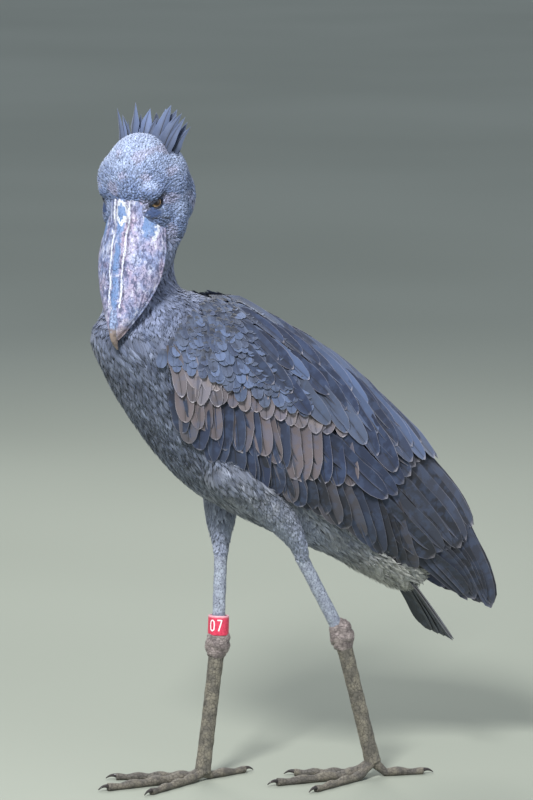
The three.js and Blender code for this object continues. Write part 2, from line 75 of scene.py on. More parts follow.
# The head: where the culmen meets the forehead, and the way it faces and hangs.
HEAD_BASE = np.array([48.0, -308.0, 953.0])
HEAD_AZIMUTH = math.radians(36)
BILL_LEAN = math.radians(10)
FACING = np.array([math.sin(HEAD_AZIMUTH), -math.cos(HEAD_AZIMUTH), 0.0])
UP = np.array([0.0, 0.0, 1.0])
BILL_AXIS = FACING * math.sin(BILL_LEAN) - UP * math.cos(BILL_LEAN)
CULMEN_OUT = FACING * math.cos(BILL_LEAN) + UP * math.sin(BILL_LEAN)
HEAD_LEFT = np.array([math.cos(HEAD_AZIMUTH), math.sin(HEAD_AZIMUTH), 0.0])
EYE_ALONG, EYE_DEPTH, EYE_SIDE, EYE_RADIUS = -12.0, 31.0, 37.5, 14.0
# Bill sections: distance from the forehead, ridge height, half width and depth of the lip.
BILL = np.array([
    [-34, 8, 44, 50], [-10, 3, 47, 52], [16, 0, 49, 53], [40, 0, 53, 52], [62, 1, 57, 50],
    [86, 1, 57.5, 47], [112, 0, 53, 44], [136, -1, 45, 39], [158, -2, 35, 33], [176, -2, 25, 27],
    [190, -1, 16, 23], [200, -3, 9.5, 19], [207, -7, 3, 15],
], float)
# Skull masses: place along the bill's line, depth and side, then radii along, out and across.
SKULL = np.array([
    [-52, 44, 0, 65, 58, 51], [-47, 42, -5, 50, 51, 60], [-43, 74, -1, 70, 62, 63],
    [-26, 98, 3, 60, 58, 56], [2, 52, -2, 46, 46, 57],
], float)
# Neck sections: x, y, z, half width and half depth.
NECK = np.array([
    [-9, -226, 985, 44, 44], [-12, -232, 930, 46, 46], [-15, -238, 890, 43, 44],
    [-17, -243, 850, 43, 46], [-15, -246, 815, 52, 56], [-9, -248, 785, 70, 66], [-3, -240, 745, 84, 70],
], float)


def srgb(red: float, green: float, blue: float) -> Colour:
    """Return a linear colour with full alpha from display values of 0 to 255."""
    linear = [
        c / 12.92 if c <= 0.04045 else ((c + 0.055) / 1.055) ** 2.4
        for c in (red / 255, green / 255, blue / 255)
    ]
    return (*linear, 1.0)


def section(table: Array, at: Array) -> list[Array]:
    """Read the columns of a table of sections at any distances, on a smooth curve.

    Args:
        table: rows of distance and values, in rising distance.
        at: distances to read.

    Returns:
        One array for each value column.
    """
    x = table[:, 0]
    at = np.clip(np.asarray(at, float), x[0], x[-1])
    i = np.clip(np.searchsorted(x, at, side="right") - 1, 0, len(x) - 2)
    span = x[i + 1] - x[i]
    k = (at - x[i]) / span
    before, after = np.maximum(i - 1, 0), np.minimum(i + 2, len(x) - 1)
    columns = []
    for c in range(1, table.shape[1]):
        y = table[:, c]
        slope_a = (y[i + 1] - y[before]) / (x[i + 1] - x[before]) * span
        slope_b = (y[after] - y[i]) / (x[after] - x[i]) * span
        k2, k3 = k * k, k * k * k
        columns.append((2 * k3 - 3 * k2 + 1) * y[i] + (k3 - 2 * k2 + k) * slope_a
                       + (3 * k2 - 2 * k3) * y[i + 1] + (k3 - k2) * slope_b)
    return columns


def smoothstep(low: float, high: float, x: Array) -> Array:
    """Return 0 below low, 1 above high and a smooth rise between them."""
    k = np.clip((np.asarray(x, float) - low) / (high - low), 0, 1)
    return k * k * (3 - 2 * k)


def bell(x: Array, width: float, power: float = 2) -> Array:
    """Return 1 where x is 0 and a smooth fall to 0 beyond about this width."""
    return np.exp(-(x / width) ** power)


def unit(v: Array) -> Array:
    """Return vectors scaled to length one along the last axis."""
    return v / np.maximum(np.linalg.norm(v, axis=-1, keepdims=True), 1e-9)


def body_point(t: Array, s: Array, x: Array) -> Array:
    """Return points from distance along the back, height off it, and side."""
    t, s, x = np.broadcast_arrays(np.asarray(t, float), s, x)
    c, k = math.cos(TILT), math.sin(TILT)
    return np.stack([x, c * t + k * s, c * s - k * t], -1)


def body_place(p: Array) -> tuple[Array, Array, Array]:
    """Return distance along the back, height off it, and side, of points."""
    c, k = math.cos(TILT), math.sin(TILT)
    return c * p[..., 1] - k * p[..., 2], k * p[..., 1] + c * p[..., 2], p[..., 0]


def head_point(along: Array, depth: Array, side: Array) -> Array:
    """Return points from place along the bill's line, depth behind the culmen, and side."""
    along, depth, side = np.broadcast_arrays(np.asarray(along, float), depth, side)
    return (HEAD_BASE + along[..., None] * BILL_AXIS - depth[..., None] * CULMEN_OUT
            + side[..., None] * HEAD_LEFT)


def head_place(p: Array) -> tuple[Array, Array, Array]:
    """Return place along the bill's line, depth behind the culmen, and side, of points."""
    r = p - HEAD_BASE
    return r @ BILL_AXIS, -(r @ CULMEN_OUT), r @ HEAD_LEFT


def wing_point(t: Array, phi: Array, lift: Array, hand: int) -> Array:
    """Return points on the folded wing's form.

    Args:
        t: distance along the back.
        phi: degrees round the body, negative to the belly, 90 at the spine.
        lift: height off the form.
        hand: 1 for the left wing, -1 for the right.

    Returns:
        Points in millimetres.
    """
    centre, tall, wide = section(WING_FORM, t)
    a = np.radians(phi)
    return body_point(t, centre + (tall + lift) * np.sin(a), hand * (wide + lift) * np.cos(a))


def wing_normal(t: Array, phi: Array, hand: int) -> Array:
    """Return the outward directions of the wing's form."""
    ahead = wing_point(t + 2, phi, 0.0, hand) - wing_point(t - 2, phi, 0.0, hand)
    around = wing_point(t, phi + 1, 0.0, hand) - wing_point(t, phi - 1, 0.0, hand)
    return unit(np.cross(around, ahead) * hand)


def low_edge(t: Array) -> Array:
    """Return the angle of the wing's lower edge along the back."""
    return -37 - 22 * smoothstep(-110, 30, t)


def to_metres(points: Array) -> Array:
    """Return points of the modelling frame in the shared frame, in metres."""
    return (points + ORIGIN_SHIFT) * MM


def to_model(points: Array) -> Array:
    """Return points of the shared frame in the modelling frame, in millimetres."""
    return points / MM - ORIGIN_SHIFT


def side_name(hand: int) -> str:
    """Return left or right."""
    return "left" if hand > 0 else "right"


def read_rows(data: bpy.types.bpy_prop_collection, key: str, width: int) -> Array:
    """Return one property of each item of a mesh's data, as rows of this width."""
    values = np.empty(len(data) * width, np.float32)
    data.foreach_get(key, values)
    return values.reshape(-1, width).astype(float)


def add_map(piece: Piece, name: str, places: Array) -> None:
    """Give a piece a UV map, from a place for each corner of its faces."""
    layer = piece.data.uv_layers.new(name=name)
    layer.data.foreach_set("uv", places.astype(np.float32).ravel())


def add_colour(piece: Piece, name: str, values: Array) -> None:
    """Give a piece a colour attribute, from four values for each point."""
    layer = piece.data.color_attributes.new(name, "FLOAT_COLOR", "POINT")
    layer.data.foreach_set("color", values.astype(np.float32).ravel())


def mesh_piece(name: str, points: Array, faces: Array) -> Piece:
    """Make an object from points in millimetres and faces of equal count.

    Args:
        name: the piece's name.
        points: an array of points, in the modelling frame.
        faces: an array of vertex numbers, one row a face.

    Returns:
        The new object, at the origin.
    """
    mesh = bpy.data.meshes.new(name)
    count, corners = faces.shape
    mesh.vertices.add(len(points))
    mesh.vertices.foreach_set("co", to_metres(points).astype(np.float32).ravel())
    mesh.loops.add(count * corners)
    mesh.loops.foreach_set("vertex_index", faces.astype(np.int32).ravel())
    mesh.polygons.add(count)
    mesh.polygons.foreach_set("loop_start", (np.arange(count) * corners).astype(np.int32))
    mesh.update(calc_edges=True)
    piece = bpy.data.objects.new(name, mesh)
    bpy.context.scene.collection.objects.link(piece)
    return piece


def select_only(*pieces: Piece) -> None:
    """Select just these objects, the first one active."""
    bpy.ops.object.select_all(action="DESELECT")
    for piece in pieces:
        piece.select_set(True)
    bpy.context.view_layer.objects.active = pieces[0]


def shaped_grid(name: str, columns: int, rows: int, place: Placing) -> Piece:
    """Model a closed piece from a grid whose points are wrapped onto a surface.

    Args:
        name: the piece's name.
        columns: faces round the piece.
        rows: faces along it.
        place: takes shares across and along, 0 to 1, and returns points in millimetres.

    Returns:
        The new object, closed, smooth, faces out, with its grid kept as the UV map Wrap.
    """
    bpy.ops.object.select_all(action="DESELECT")
    bpy.ops.mesh.primitive_grid_add(x_subdivisions=columns, y_subdivisions=rows, size=2)
    piece = bpy.context.object
    piece.name = piece.data.name = name
    mesh = piece.data
    flat = read_rows(mesh.vertices, "co", 3)
    points = place((flat[:, 0] + 1) / 2, (flat[:, 1] + 1) / 2)
    mesh.vertices.foreach_set("co", to_metres(points).astype(np.float32).ravel())
    mesh.uv_layers[0].name = "Wrap"
    bpy.ops.object.mode_set(mode="EDIT")
    bpy.ops.mesh.select_all(action="SELECT")
    bpy.ops.mesh.remove_doubles(threshold=2e-5)
    bpy.ops.mesh.fill_holes(sides=0)
    bpy.ops.mesh.normals_make_consistent(inside=False)
    bpy.ops.object.mode_set(mode="OBJECT")
    bpy.ops.object.shade_smooth()
    return piece


def apply_modifier(piece: Piece, kind: str, **values: object) -> None:
    """Add a modifier with these values and apply it."""
    select_only(piece)
    modifier = piece.modifiers.new(kind.title(), kind)
    for key, value in values.items():
        setattr(modifier, key, value)
    bpy.ops.object.modifier_apply(modifier=modifier.name)


def tube_place(rows: Array, side: Sequence[float]) -> Placing:
    """Return a placing of a grid round a bent tube of elliptical sections.

    Args:
        rows: x, y, z, half width along side, and half depth, of each section.
        side: the direction that half width is measured along.

    Returns:
        A function for shaped_grid.
    """
    table = np.column_stack([np.linspace(0, 1, len(rows)), rows])
    side_way = unit(np.asarray(side, float))

    def place(across: Array, along: Array) -> Array:
        x, y, z, wide, deep = section(table, along)
        x2, y2, z2, *_ = section(table, np.minimum(along + 0.01, 1))
        x1, y1, z1, *_ = section(table, np.maximum(along - 0.01, 0))
        way = unit(np.stack([x2 - x1, y2 - y1, z2 - z1], -1))
        fore = unit(np.cross(way, side_way))
        flat = unit(np.cross(fore, way))
        a = 2 * np.pi * across
        return (np.stack([x, y, z], -1) + flat * (wide * np.cos(a))[:, None]
                + fore * (deep * np.sin(a))[:, None])

    return place


@dataclass
class Links:
    """A short way of wiring a node tree."""

    tree: bpy.types.NodeTree

    def feed(self, node: Node, inputs: dict) -> None:
        """Set a node's inputs to values, or link them to other nodes' outputs.

        Args:
            node: the node.
            inputs: a socket's name or number to a value or another node's output.
        """
        for key, value in inputs.items():
            if isinstance(value, Socket):
                self.tree.links.new(value, node.inputs[key])
            else:
                node.inputs[key].default_value = value

    def add(self, kind: str, inputs: dict | None = None, **settings: object) -> Node:
        """Add a node, set its properties, and feed its inputs.

        Args:
            kind: the node's type name without ShaderNode.
            inputs: as for feed.
            settings: properties of the node.

        Returns:
            The new node.
        """
        node = self.tree.nodes.new("ShaderNode" + kind)
        for key, value in settings.items():
            setattr(node, key, value)
        self.feed(node, inputs or {})
        return node

    def math(self, operation: str, a: object, b: object = 0.0, c: object = 0.0) -> Socket:
        """Return the output of a Math node."""
        return self.add("Math", {0: a, 1: b, 2: c}, operation=operation).outputs[0]

    def span(self, value: object, low: object, high: object, to_low: float = 0.0,
             to_high: float = 1.0) -> Socket:
        """Return a smooth mapping of a value from one span to another."""
        inputs = {0: value, 1: low, 2: high, 3: to_low, 4: to_high}
        return self.add("MapRange", inputs, interpolation_type="SMOOTHSTEP").outputs[0]

    def mix(self, factor: object, a: object, b: object, blend_type: str = "MIX") -> Socket:
        """Return a colour mixed from two."""
        node = self.add("Mix", {0: factor}, data_type="RGBA", blend_type=blend_type)
        self.feed(node, {6: a, 7: b})
        return node.outputs[2]

    def scaled(self, mask: object, share: object) -> Socket:
        """Return a mask times a share."""
        return self.math("MULTIPLY", mask, share)

    def noise(self, scale: float, detail: float = 3.0, vector: object = None,
              roughness: float = 0.55) -> Socket:
        """Return noise, on Object coordinates unless a vector is given."""
        where = vector or self.add("TexCoord").outputs["Object"]
        inputs = {"Vector": where, "Scale": scale, "Detail": detail, "Roughness": roughness}
        return self.add("TexNoise", inputs).outputs["Fac"]


def node_group(name: str, inputs: dict[str, object]) -> tuple[Links, Node, Node]:
    """Start a shader node group that puts out a colour, a height and a roughness.

    Args:
        name: the group's name.
        inputs: names with default values, a number or a colour.

    Returns:
        The links of its tree, and its input and output nodes.
    """
    tree = bpy.data.node_groups.new(name, "ShaderNodeTree")
    for key, value in inputs.items():
        kind = "NodeSocketFloat" if isinstance(value, (int, float)) else "NodeSocketColor"
        tree.interface.new_socket(key, in_out="INPUT", socket_type=kind).default_value = value
    for key, kind in (("Color", "Color"), ("Height", "Float"), ("Roughness", "Float")):
        tree.interface.new_socket(key, in_out="OUTPUT", socket_type="NodeSocket" + kind)
    return Links(tree), tree.nodes.new("NodeGroupInput"), tree.nodes.new("NodeGroupOutput")


@cache
def vane_group() -> bpy.types.NodeTree:
    """Return the pattern of a feather: shaft, barbs, pale rim and dark centre, with painted shade towards its
    root and a painted blue sheen in patches.
    """
    n, start, end = node_group(
        "FeatherVane",
        {"Rim": srgb(190, 190, 200), "Rim Width": 0.12, "Rim Amount": 0.6, "Shaft": 0.4, "Streak": 0.2,
         "Barbs": 60.0, "Sheen Tint": srgb(120, 140, 175), "Painted Sheen": 0.2},
    )
    given = start.outputs
    split = n.add("SeparateXYZ", {0: n.add("UVMap", uv_map="Vane").outputs[0]})
    across = n.math("ABSOLUTE", n.math("MULTIPLY_ADD", split.outputs[0], 2.0, -1.0))
    along = split.outputs[1]
    tint = n.add("Attribute", attribute_name="Tint")
    grain = n.noise(900.0, 2.0)
    cloud = n.noise(55.0, 3.0)
    phase = n.math("ADD", n.scaled(along, given["Barbs"]), n.scaled(across, -9.0))
    phase = n.math("ADD", phase, n.scaled(cloud, 3.0))
    barb = n.math("SINE", n.scaled(phase, 6.2832))
    tipward = n.math("MAXIMUM", n.math("MULTIPLY_ADD", along, 2.0, -1.0), 0.0)
    sideward = n.scaled(n.math("POWER", across, 2.4), 0.97)
    radial = n.math("MAXIMUM", n.math("POWER", tipward, 2.2), sideward)
    ragged = n.math("MULTIPLY_ADD", grain, 0.14, -0.07)
    inner = n.math("SUBTRACT", 1.0, given["Rim Width"])
    rim = n.span(n.math("ADD", radial, ragged), inner, 1.0)
    rim = n.scaled(rim, n.span(along, 0.4, 0.92, 0.22, 1.0))
    rim = n.scaled(n.scaled(rim, given["Rim Amount"]), tint.outputs["Alpha"])
    shade = n.math("MULTIPLY_ADD", barb, 0.055, 0.86)
    shade = n.math("ADD", shade, n.scaled(grain, 0.3))
    shade = n.math("SUBTRACT", shade, n.scaled(n.span(across, 0.5, 0.0), given["Streak"]))
    # Painted shade: the vane darkens towards its root, as if shadowed by the feathers lying over it.
    shade = n.scaled(shade, n.span(along, 0.0, 0.75, 0.42, 1.05))
    grey = n.add("CombineColor", {0: shade, 1: shade, 2: shade}).outputs[0]
    colour = n.mix(1.0, tint.outputs["Color"], grey, "MULTIPLY")
    # Painted sheen: pale blue patches where the cloud noise is high, standing in for the gloss of the vanes.
    colour = n.mix(n.scaled(n.span(cloud, 0.45, 0.62), given["Painted Sheen"]), colour, given["Sheen Tint"])
    colour = n.mix(rim, colour, given["Rim"])
    colour = n.mix(n.scaled(n.span(across, 0.075, 0.02), given["Shaft"]), colour, srgb(28, 28, 32))
    n.feed(end, {
        "Color": colour,
        "Height": n.math("ADD", n.scaled(barb, 0.25), n.scaled(grain, 0.5)),
        "Roughness": n.math("MULTIPLY_ADD", grain, 0.25, 0.5),
    })
    return n.tree


@cache
def mottle_group() -> bpy.types.NodeTree:
    """Return a mottled skin or horn: two tones, fine specks and pores."""
    n, start, end = node_group(
        "Mottle",
        {"Base": srgb(128, 128, 128), "Second": srgb(100, 100, 100), "Speck": srgb(40, 40, 44),
         "Patches": 60.0, "Specks": 420.0, "Speck Amount": 0.5},
    )
    given = start.outputs
    where = n.add("TexCoord").outputs["Object"]
    broad = n.add("TexNoise", {"Vector": where, "Scale": given["Patches"], "Detail": 4.0}).outputs["Fac"]
    fine = n.add("TexNoise", {"Vector": where, "Scale": given["Specks"], "Detail": 2.0}).outputs["Fac"]
    speck = n.scaled(n.span(fine, 0.55, 0.72), given["Speck Amount"])
    colour = n.mix(n.span(broad, 0.38, 0.62), given["Base"], given["Second"])
    n.feed(end, {
        "Color": n.mix(speck, colour, given["Speck"]),
        "Height": n.math("SUBTRACT", n.scaled(broad, 0.6), speck),
        "Roughness": n.math("MULTIPLY_ADD", fine, 0.4, 0.35),
    })
    return n.tree


def new_material(name: str) -> tuple[Material, Links, Node]:
    """Start a material with a Principled shader wired to its output."""
    material = bpy.data.materials.new(name)
    material.use_nodes = True
    material.node_tree.nodes.clear()
    n = Links(material.node_tree)
    shader = n.add("BsdfPrincipled")
    n.add("OutputMaterial", {0: shader.outputs[0]})
    return material, n, shader


def bump(n: Links, height: Socket, strength: float, depth: float) -> Socket:
    """Return the normal of a surface with this relief, its depth in millimetres."""
    return n.add("Bump", {"Height": height, "Strength": strength, "Distance": depth * MM}).outputs[0]


@dataclass(frozen=True)
class FeatherFinish:
    """A coat of feathers, coloured by each vane's own tint."""

    name: str
    rim: Colour
    rim_width: float = 0.14
    rim_amount: float = 0.6
    shaft: float = 0.4
    streak: float = 0.2
    barbs: float = 40.0
    painted_sheen: float = 0.15
    sheen_tint: Colour = srgb(112, 126, 154)
    depth: float = 0.25
    specular: float = 0.3

    def make(self) -> Material:
        """Return the material."""
        material, n, shader = new_material(self.name)
        vane = n.add("Group", {
            "Rim": self.rim, "Rim Width": self.rim_width, "Rim Amount": self.rim_amount, "Shaft": self.shaft,
            "Streak": self.streak, "Barbs": self.barbs, "Sheen Tint": self.sheen_tint, "Painted Sheen": self.painted_sheen,
        }, node_tree=vane_group()).outputs
        n.feed(shader, {
            "Base Color": vane["Color"], "Roughness": vane["Roughness"], "Specular IOR Level": self.specular,
            "Sheen Weight": 0.15, "Sheen Roughness": 0.6, "Normal": bump(n, vane["Height"], 0.5, self.depth),
        })
        return material


@dataclass(frozen=True)
class MottledFinish:
    """Skin, scutes or horn: mottled, with optional cells such as scales."""

    name: str
    base: Colour
    second: Colour
    speck: Colour
    patches: float = 60.0
    specks: float = 420.0
    speck_amount: float = 0.5
    cells: float = 0.0
    cell_stretch: tuple[float, float, float] = (1.0, 1.0, 1.0)
    groove: float = 0.6
    depth: float = 0.6
    shine: float = 0.0

    def make(self) -> Material:
        """Return the material."""
        material, n, shader = new_material(self.name)
        mottle = n.add("Group", {
            "Base": self.base, "Second": self.second, "Speck": self.speck, "Patches": self.patches,
            "Specks": self.specks, "Speck Amount": self.speck_amount,
        }, node_tree=mottle_group()).outputs
        colour, height = mottle["Color"], mottle["Height"]
        if self.cells:
            where = n.add("TexCoord").outputs["Object"]
            where = n.add("Mapping", {"Vector": where, "Scale": self.cell_stretch}).outputs[0]
            cell = n.add("TexVoronoi", {"Vector": where, "Scale": self.cells}, feature="DISTANCE_TO_EDGE")
            line = n.span(cell.outputs["Distance"], 0.09, 0.01)
            colour = n.mix(n.scaled(line, self.groove), colour, self.speck)
            height = n.math("SUBTRACT", n.scaled(height, 0.35), line)
        n.feed(shader, {
            "Base Color": colour, "Roughness": mottle["Roughness"], "Specular IOR Level": 0.35,
            "Coat Weight": self.shine, "Normal": bump(n, height, 0.8, self.depth),
        })
        return material


def dress(piece: Piece, material: Material, slot: str, *nodes: str) -> Piece:
    """Give a piece its material and body, and hide the solids that it stands for, by name."""
    piece.data.materials.clear()
    piece.data.materials.append(material)
    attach(piece, BODY)
    if nodes:
        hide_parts(*nodes)
    LOG.info("%s: %d faces", piece.name, len(piece.data.polygons))
    return piece


def prism_faces(stations: int) -> Array:
    """Return the triangles of a closed vane of three points a station."""
    faces = [[0, 2, 1]]
    for r in range(stations - 1):
        a, b = 3 * r, 3 * r + 3
        for i, j in ((0, 1), (1, 2), (2, 0)):
            faces += [[a + i, a + j, b + j], [a + i, b + j, b + i]]
    e = 3 * (stations - 1)
    faces.append([e, e + 1, e + 2])
    return np.array(faces)[:, ::-1]


@dataclass
class Plumage:
    """Small feathers of one region, each a thin keeled vane, gathered in one mesh.

    The profile is how wide a vane is at shares of its length, and the keel how thick it is.
    """

    name: str
    profile: Sequence[tuple[float, float]]
    keel: float = 0.16

    def build(self, root: Array, along: Array, normal: Array, tip: Array, tip_normal: Array, width: Array,
              tint: Array, root_uv: Array) -> Piece:
        """Make feathers that bend from their roots to their tips over the body.

        Args:
            root: where each starts, under the skin.
            along: the way each leaves the skin.
            normal: the skin's outward direction at the root.
            tip: where each ends.
            tip_normal: the skin's outward direction under the tip.
            width: each one's greatest width.
            tint: colour and rim amount.
            root_uv: each root's place on the skin's bake map.

        Returns:
            The mesh, with the maps Vane and OFBake and the colour Tint.
        """
        s, w = np.array(self.profile).T
        s = s[:, None]
        reach = np.linalg.norm(tip - root, axis=1)[:, None]
        middle = root + along * reach * 0.5 + normal * reach * 0.06
        a, b, c = root[:, None], middle[:, None], tip[:, None]
        spine = (1 - s) ** 2 * a + 2 * s * (1 - s) * b + s * s * c
        way = unit((1 - s) * (b - a) + s * (c - b))
        up = unit((1 - s) * normal[:, None] + s * tip_normal[:, None])
        across = unit(np.cross(up, way))
        half = (width[:, None] * w / 2)[..., None] * across
        keel = (width[:, None] * w * self.keel)[..., None] * up
        points = np.stack([spine - half, spine + keel, spine + half], 2)
        count, stations = points.shape[:2]
        per = stations * 3
        faces = (prism_faces(stations)[None] + (np.arange(count) * per)[:, None, None]).reshape(-1, 3)
        piece = mesh_piece(self.name, points.reshape(-1, 3), faces)
        local, owner = faces.ravel() % per, faces.ravel() // per
        place = np.stack([(local % 3) / 2, np.array(self.profile)[local // 3, 0]], -1)
        add_map(piece, "Vane", place)
        add_map(piece, "OFBake", root_uv[owner] + (place - 0.5) * 0.003)
        add_colour(piece, "Tint", np.repeat(tint, per, 0))
        ends = np.empty(len(piece.data.edges) * 2, np.int32)
        piece.data.edges.foreach_get("vertices", ends)
        column = ends.reshape(-1, 2) % 3
        sharp = piece.data.attributes.new("sharp_edge", "BOOLEAN", "EDGE")
        sharp.data.foreach_set("value", (column[:, 0] == column[:, 1]) & (column[:, 0] != 1))
        return piece


@dataclass
class Quill:
    """One large feather: its path over the body and its shape."""

    path: Callable[[Array], Array]
    normal: Callable[[Array], Array]
    width: float
    tint: tuple[float, float, float, float]
    tip: float = 0.5
    roll: float = 0.0
    camber: float = 0.08
    blunt: float = 0.5
    taper: float = 2.4
    ragged: float = 0.05
    seed: int = 0


@dataclass
class QuillSheet:
    """Large feathers gathered in one mesh, each with its own patch of the bake map."""

    name: str
    rows: int = 20
    columns: int = 8
    thick: float = 0.55
    quills: list[Quill] = field(default_factory=list)

    def outline(self, k: Array, quill: Quill) -> Array:
        """Return half the width, as a share, along a feather with a rounded or pointed tip."""
        start = smoothstep(-0.12, 0.3, k) * 0.62 + 0.38
        past = np.clip((k - (1 - quill.tip)) / quill.tip, 0, 1) ** quill.taper
        return start * np.maximum(np.clip(1 - past, 0, 1) ** quill.blunt, 0.02)

    def triangles(self) -> Array:
        """Return the faces of one closed feather: its top grid, its underside and its two ends."""
        rows, cols = self.rows, self.columns
        top_count = (rows + 1) * (cols + 1)
        index = np.arange(top_count).reshape(rows + 1, cols + 1)
        under = index.copy()
        under[:, 1:-1] = top_count + np.arange((rows + 1) * (cols - 1)).reshape(rows + 1, cols - 1)
        quads, ends = [], []
        for r in range(rows):
            for c in range(cols):
                quads.append([index[r, c], index[r, c + 1], index[r + 1, c + 1], index[r + 1, c]])
                quads.append([under[r, c], under[r + 1, c], under[r + 1, c + 1], under[r, c + 1]])
        for r, order in ((0, 1), (rows, -1)):
            for c in range(1, cols - 2):
                ring = [index[r, c], under[r, c], under[r, c + 1], index[r, c + 1]]
                quads.append(ring[::order])
        for r, order in ((0, 1), (rows, -1)):
            ends.append([index[r, 0], under[r, 1], index[r, 1]][::order])
            ends.append([index[r, cols - 1], under[r, cols - 1], index[r, cols]][::order])
        quads = np.array(quads)
        return np.concatenate([quads[:, [0, 2, 1]], quads[:, [0, 3, 2]], np.array(ends)[:, ::-1]])

    def shape(self, quill: Quill, k: Array, u: Array) -> Array:
        """Return the points of one feather, its top grid and then its underside.

        Args:
            quill: the feather.
            k: shares along it, one for each row of points.
            u: places across it, -1 to 1, one for each column.

        Returns:
            Points in millimetres.
        """
        rng = np.random.default_rng(quill.seed)
        spine, normal = quill.path(k), quill.normal(k)
        along = unit(np.gradient(spine, axis=0))
        side = unit(np.cross(normal, along))
        across = side * math.cos(quill.roll) + normal * math.sin(quill.roll)
        off = normal * math.cos(quill.roll) - side * math.sin(quill.roll)
        share = self.outline(k, quill)
        knots = np.interp(np.linspace(0, 1, len(k)), np.linspace(0, 1, 9), rng.normal(0, 1, 9))
        half = share * quill.width / 2 * (1 + quill.ragged * knots)
        shaft = np.exp(-(u / 0.16) ** 2)
        cup = 0.5 * shaft - quill.camber * quill.width * u ** 2
        wave = 0.35 * np.sin(k * 7 + rng.uniform(0, 6))
        drift = np.outer(k * (1 - k) * 1.2, 0.28 * quill.width * np.abs(u) ** 1.5)
        lift = np.outer(share, cup) + np.outer(wave, np.abs(u))
        grid = (spine[:, None] + across[:, None] * np.outer(half, u)[..., None]
                + off[:, None] * lift[..., None] - along[:, None] * drift[..., None])
        depth = self.thick * np.outer(1 - 0.6 * k, 1 + 1.6 * shaft)[:, 1:-1, None]
        under = grid[:, 1:-1] - off[:, None] * depth
        return np.concatenate([grid.reshape(-1, 3), under.reshape(-1, 3)])

    def build(self) -> Piece:
        """Return the mesh, with the maps Vane and OFBake and the colour Tint."""
        k = 1 - (1 - np.linspace(0, 1, self.rows + 1)) ** 1.35
        u = np.linspace(-1, 1, self.columns + 1)
        uu, kk = np.meshgrid(u, k)
        flat_u = np.concatenate([uu.ravel(), uu[:, 1:-1].ravel()])
        flat_k = np.concatenate([kk.ravel(), kk[:, 1:-1].ravel()])
        per, count = len(flat_u), len(self.quills)
        faces = (self.triangles()[None] + (np.arange(count) * per)[:, None, None]).reshape(-1, 3)
        points = np.concatenate([self.shape(quill, k, u) for quill in self.quills])
        piece = mesh_piece(self.name, points, faces)
        local, owner = faces.ravel() % per, faces.ravel() // per
        across, along = (flat_u[local] + 1) / 2, flat_k[local]
        add_map(piece, "Vane", np.stack([across, along], -1))
        is_under = np.repeat((local >= uu.size).reshape(-1, 3).any(1), 3)
        cells = math.ceil(math.sqrt(count))
        cell = np.stack([owner % cells, owner // cells], -1)
        place = np.stack([across * 0.46 + 0.02 + 0.5 * is_under, along * 0.92 + 0.04], -1)
        add_map(piece, "OFBake", (cell + place) / cells)
        add_colour(piece, "Tint", np.repeat(np.array([quill.tint for quill in self.quills]), per, 0))
        piece.data.shade_smooth()
        select_only(piece)
        bpy.ops.object.shade_smooth_by_angle(angle=math.radians(50))
        return piece


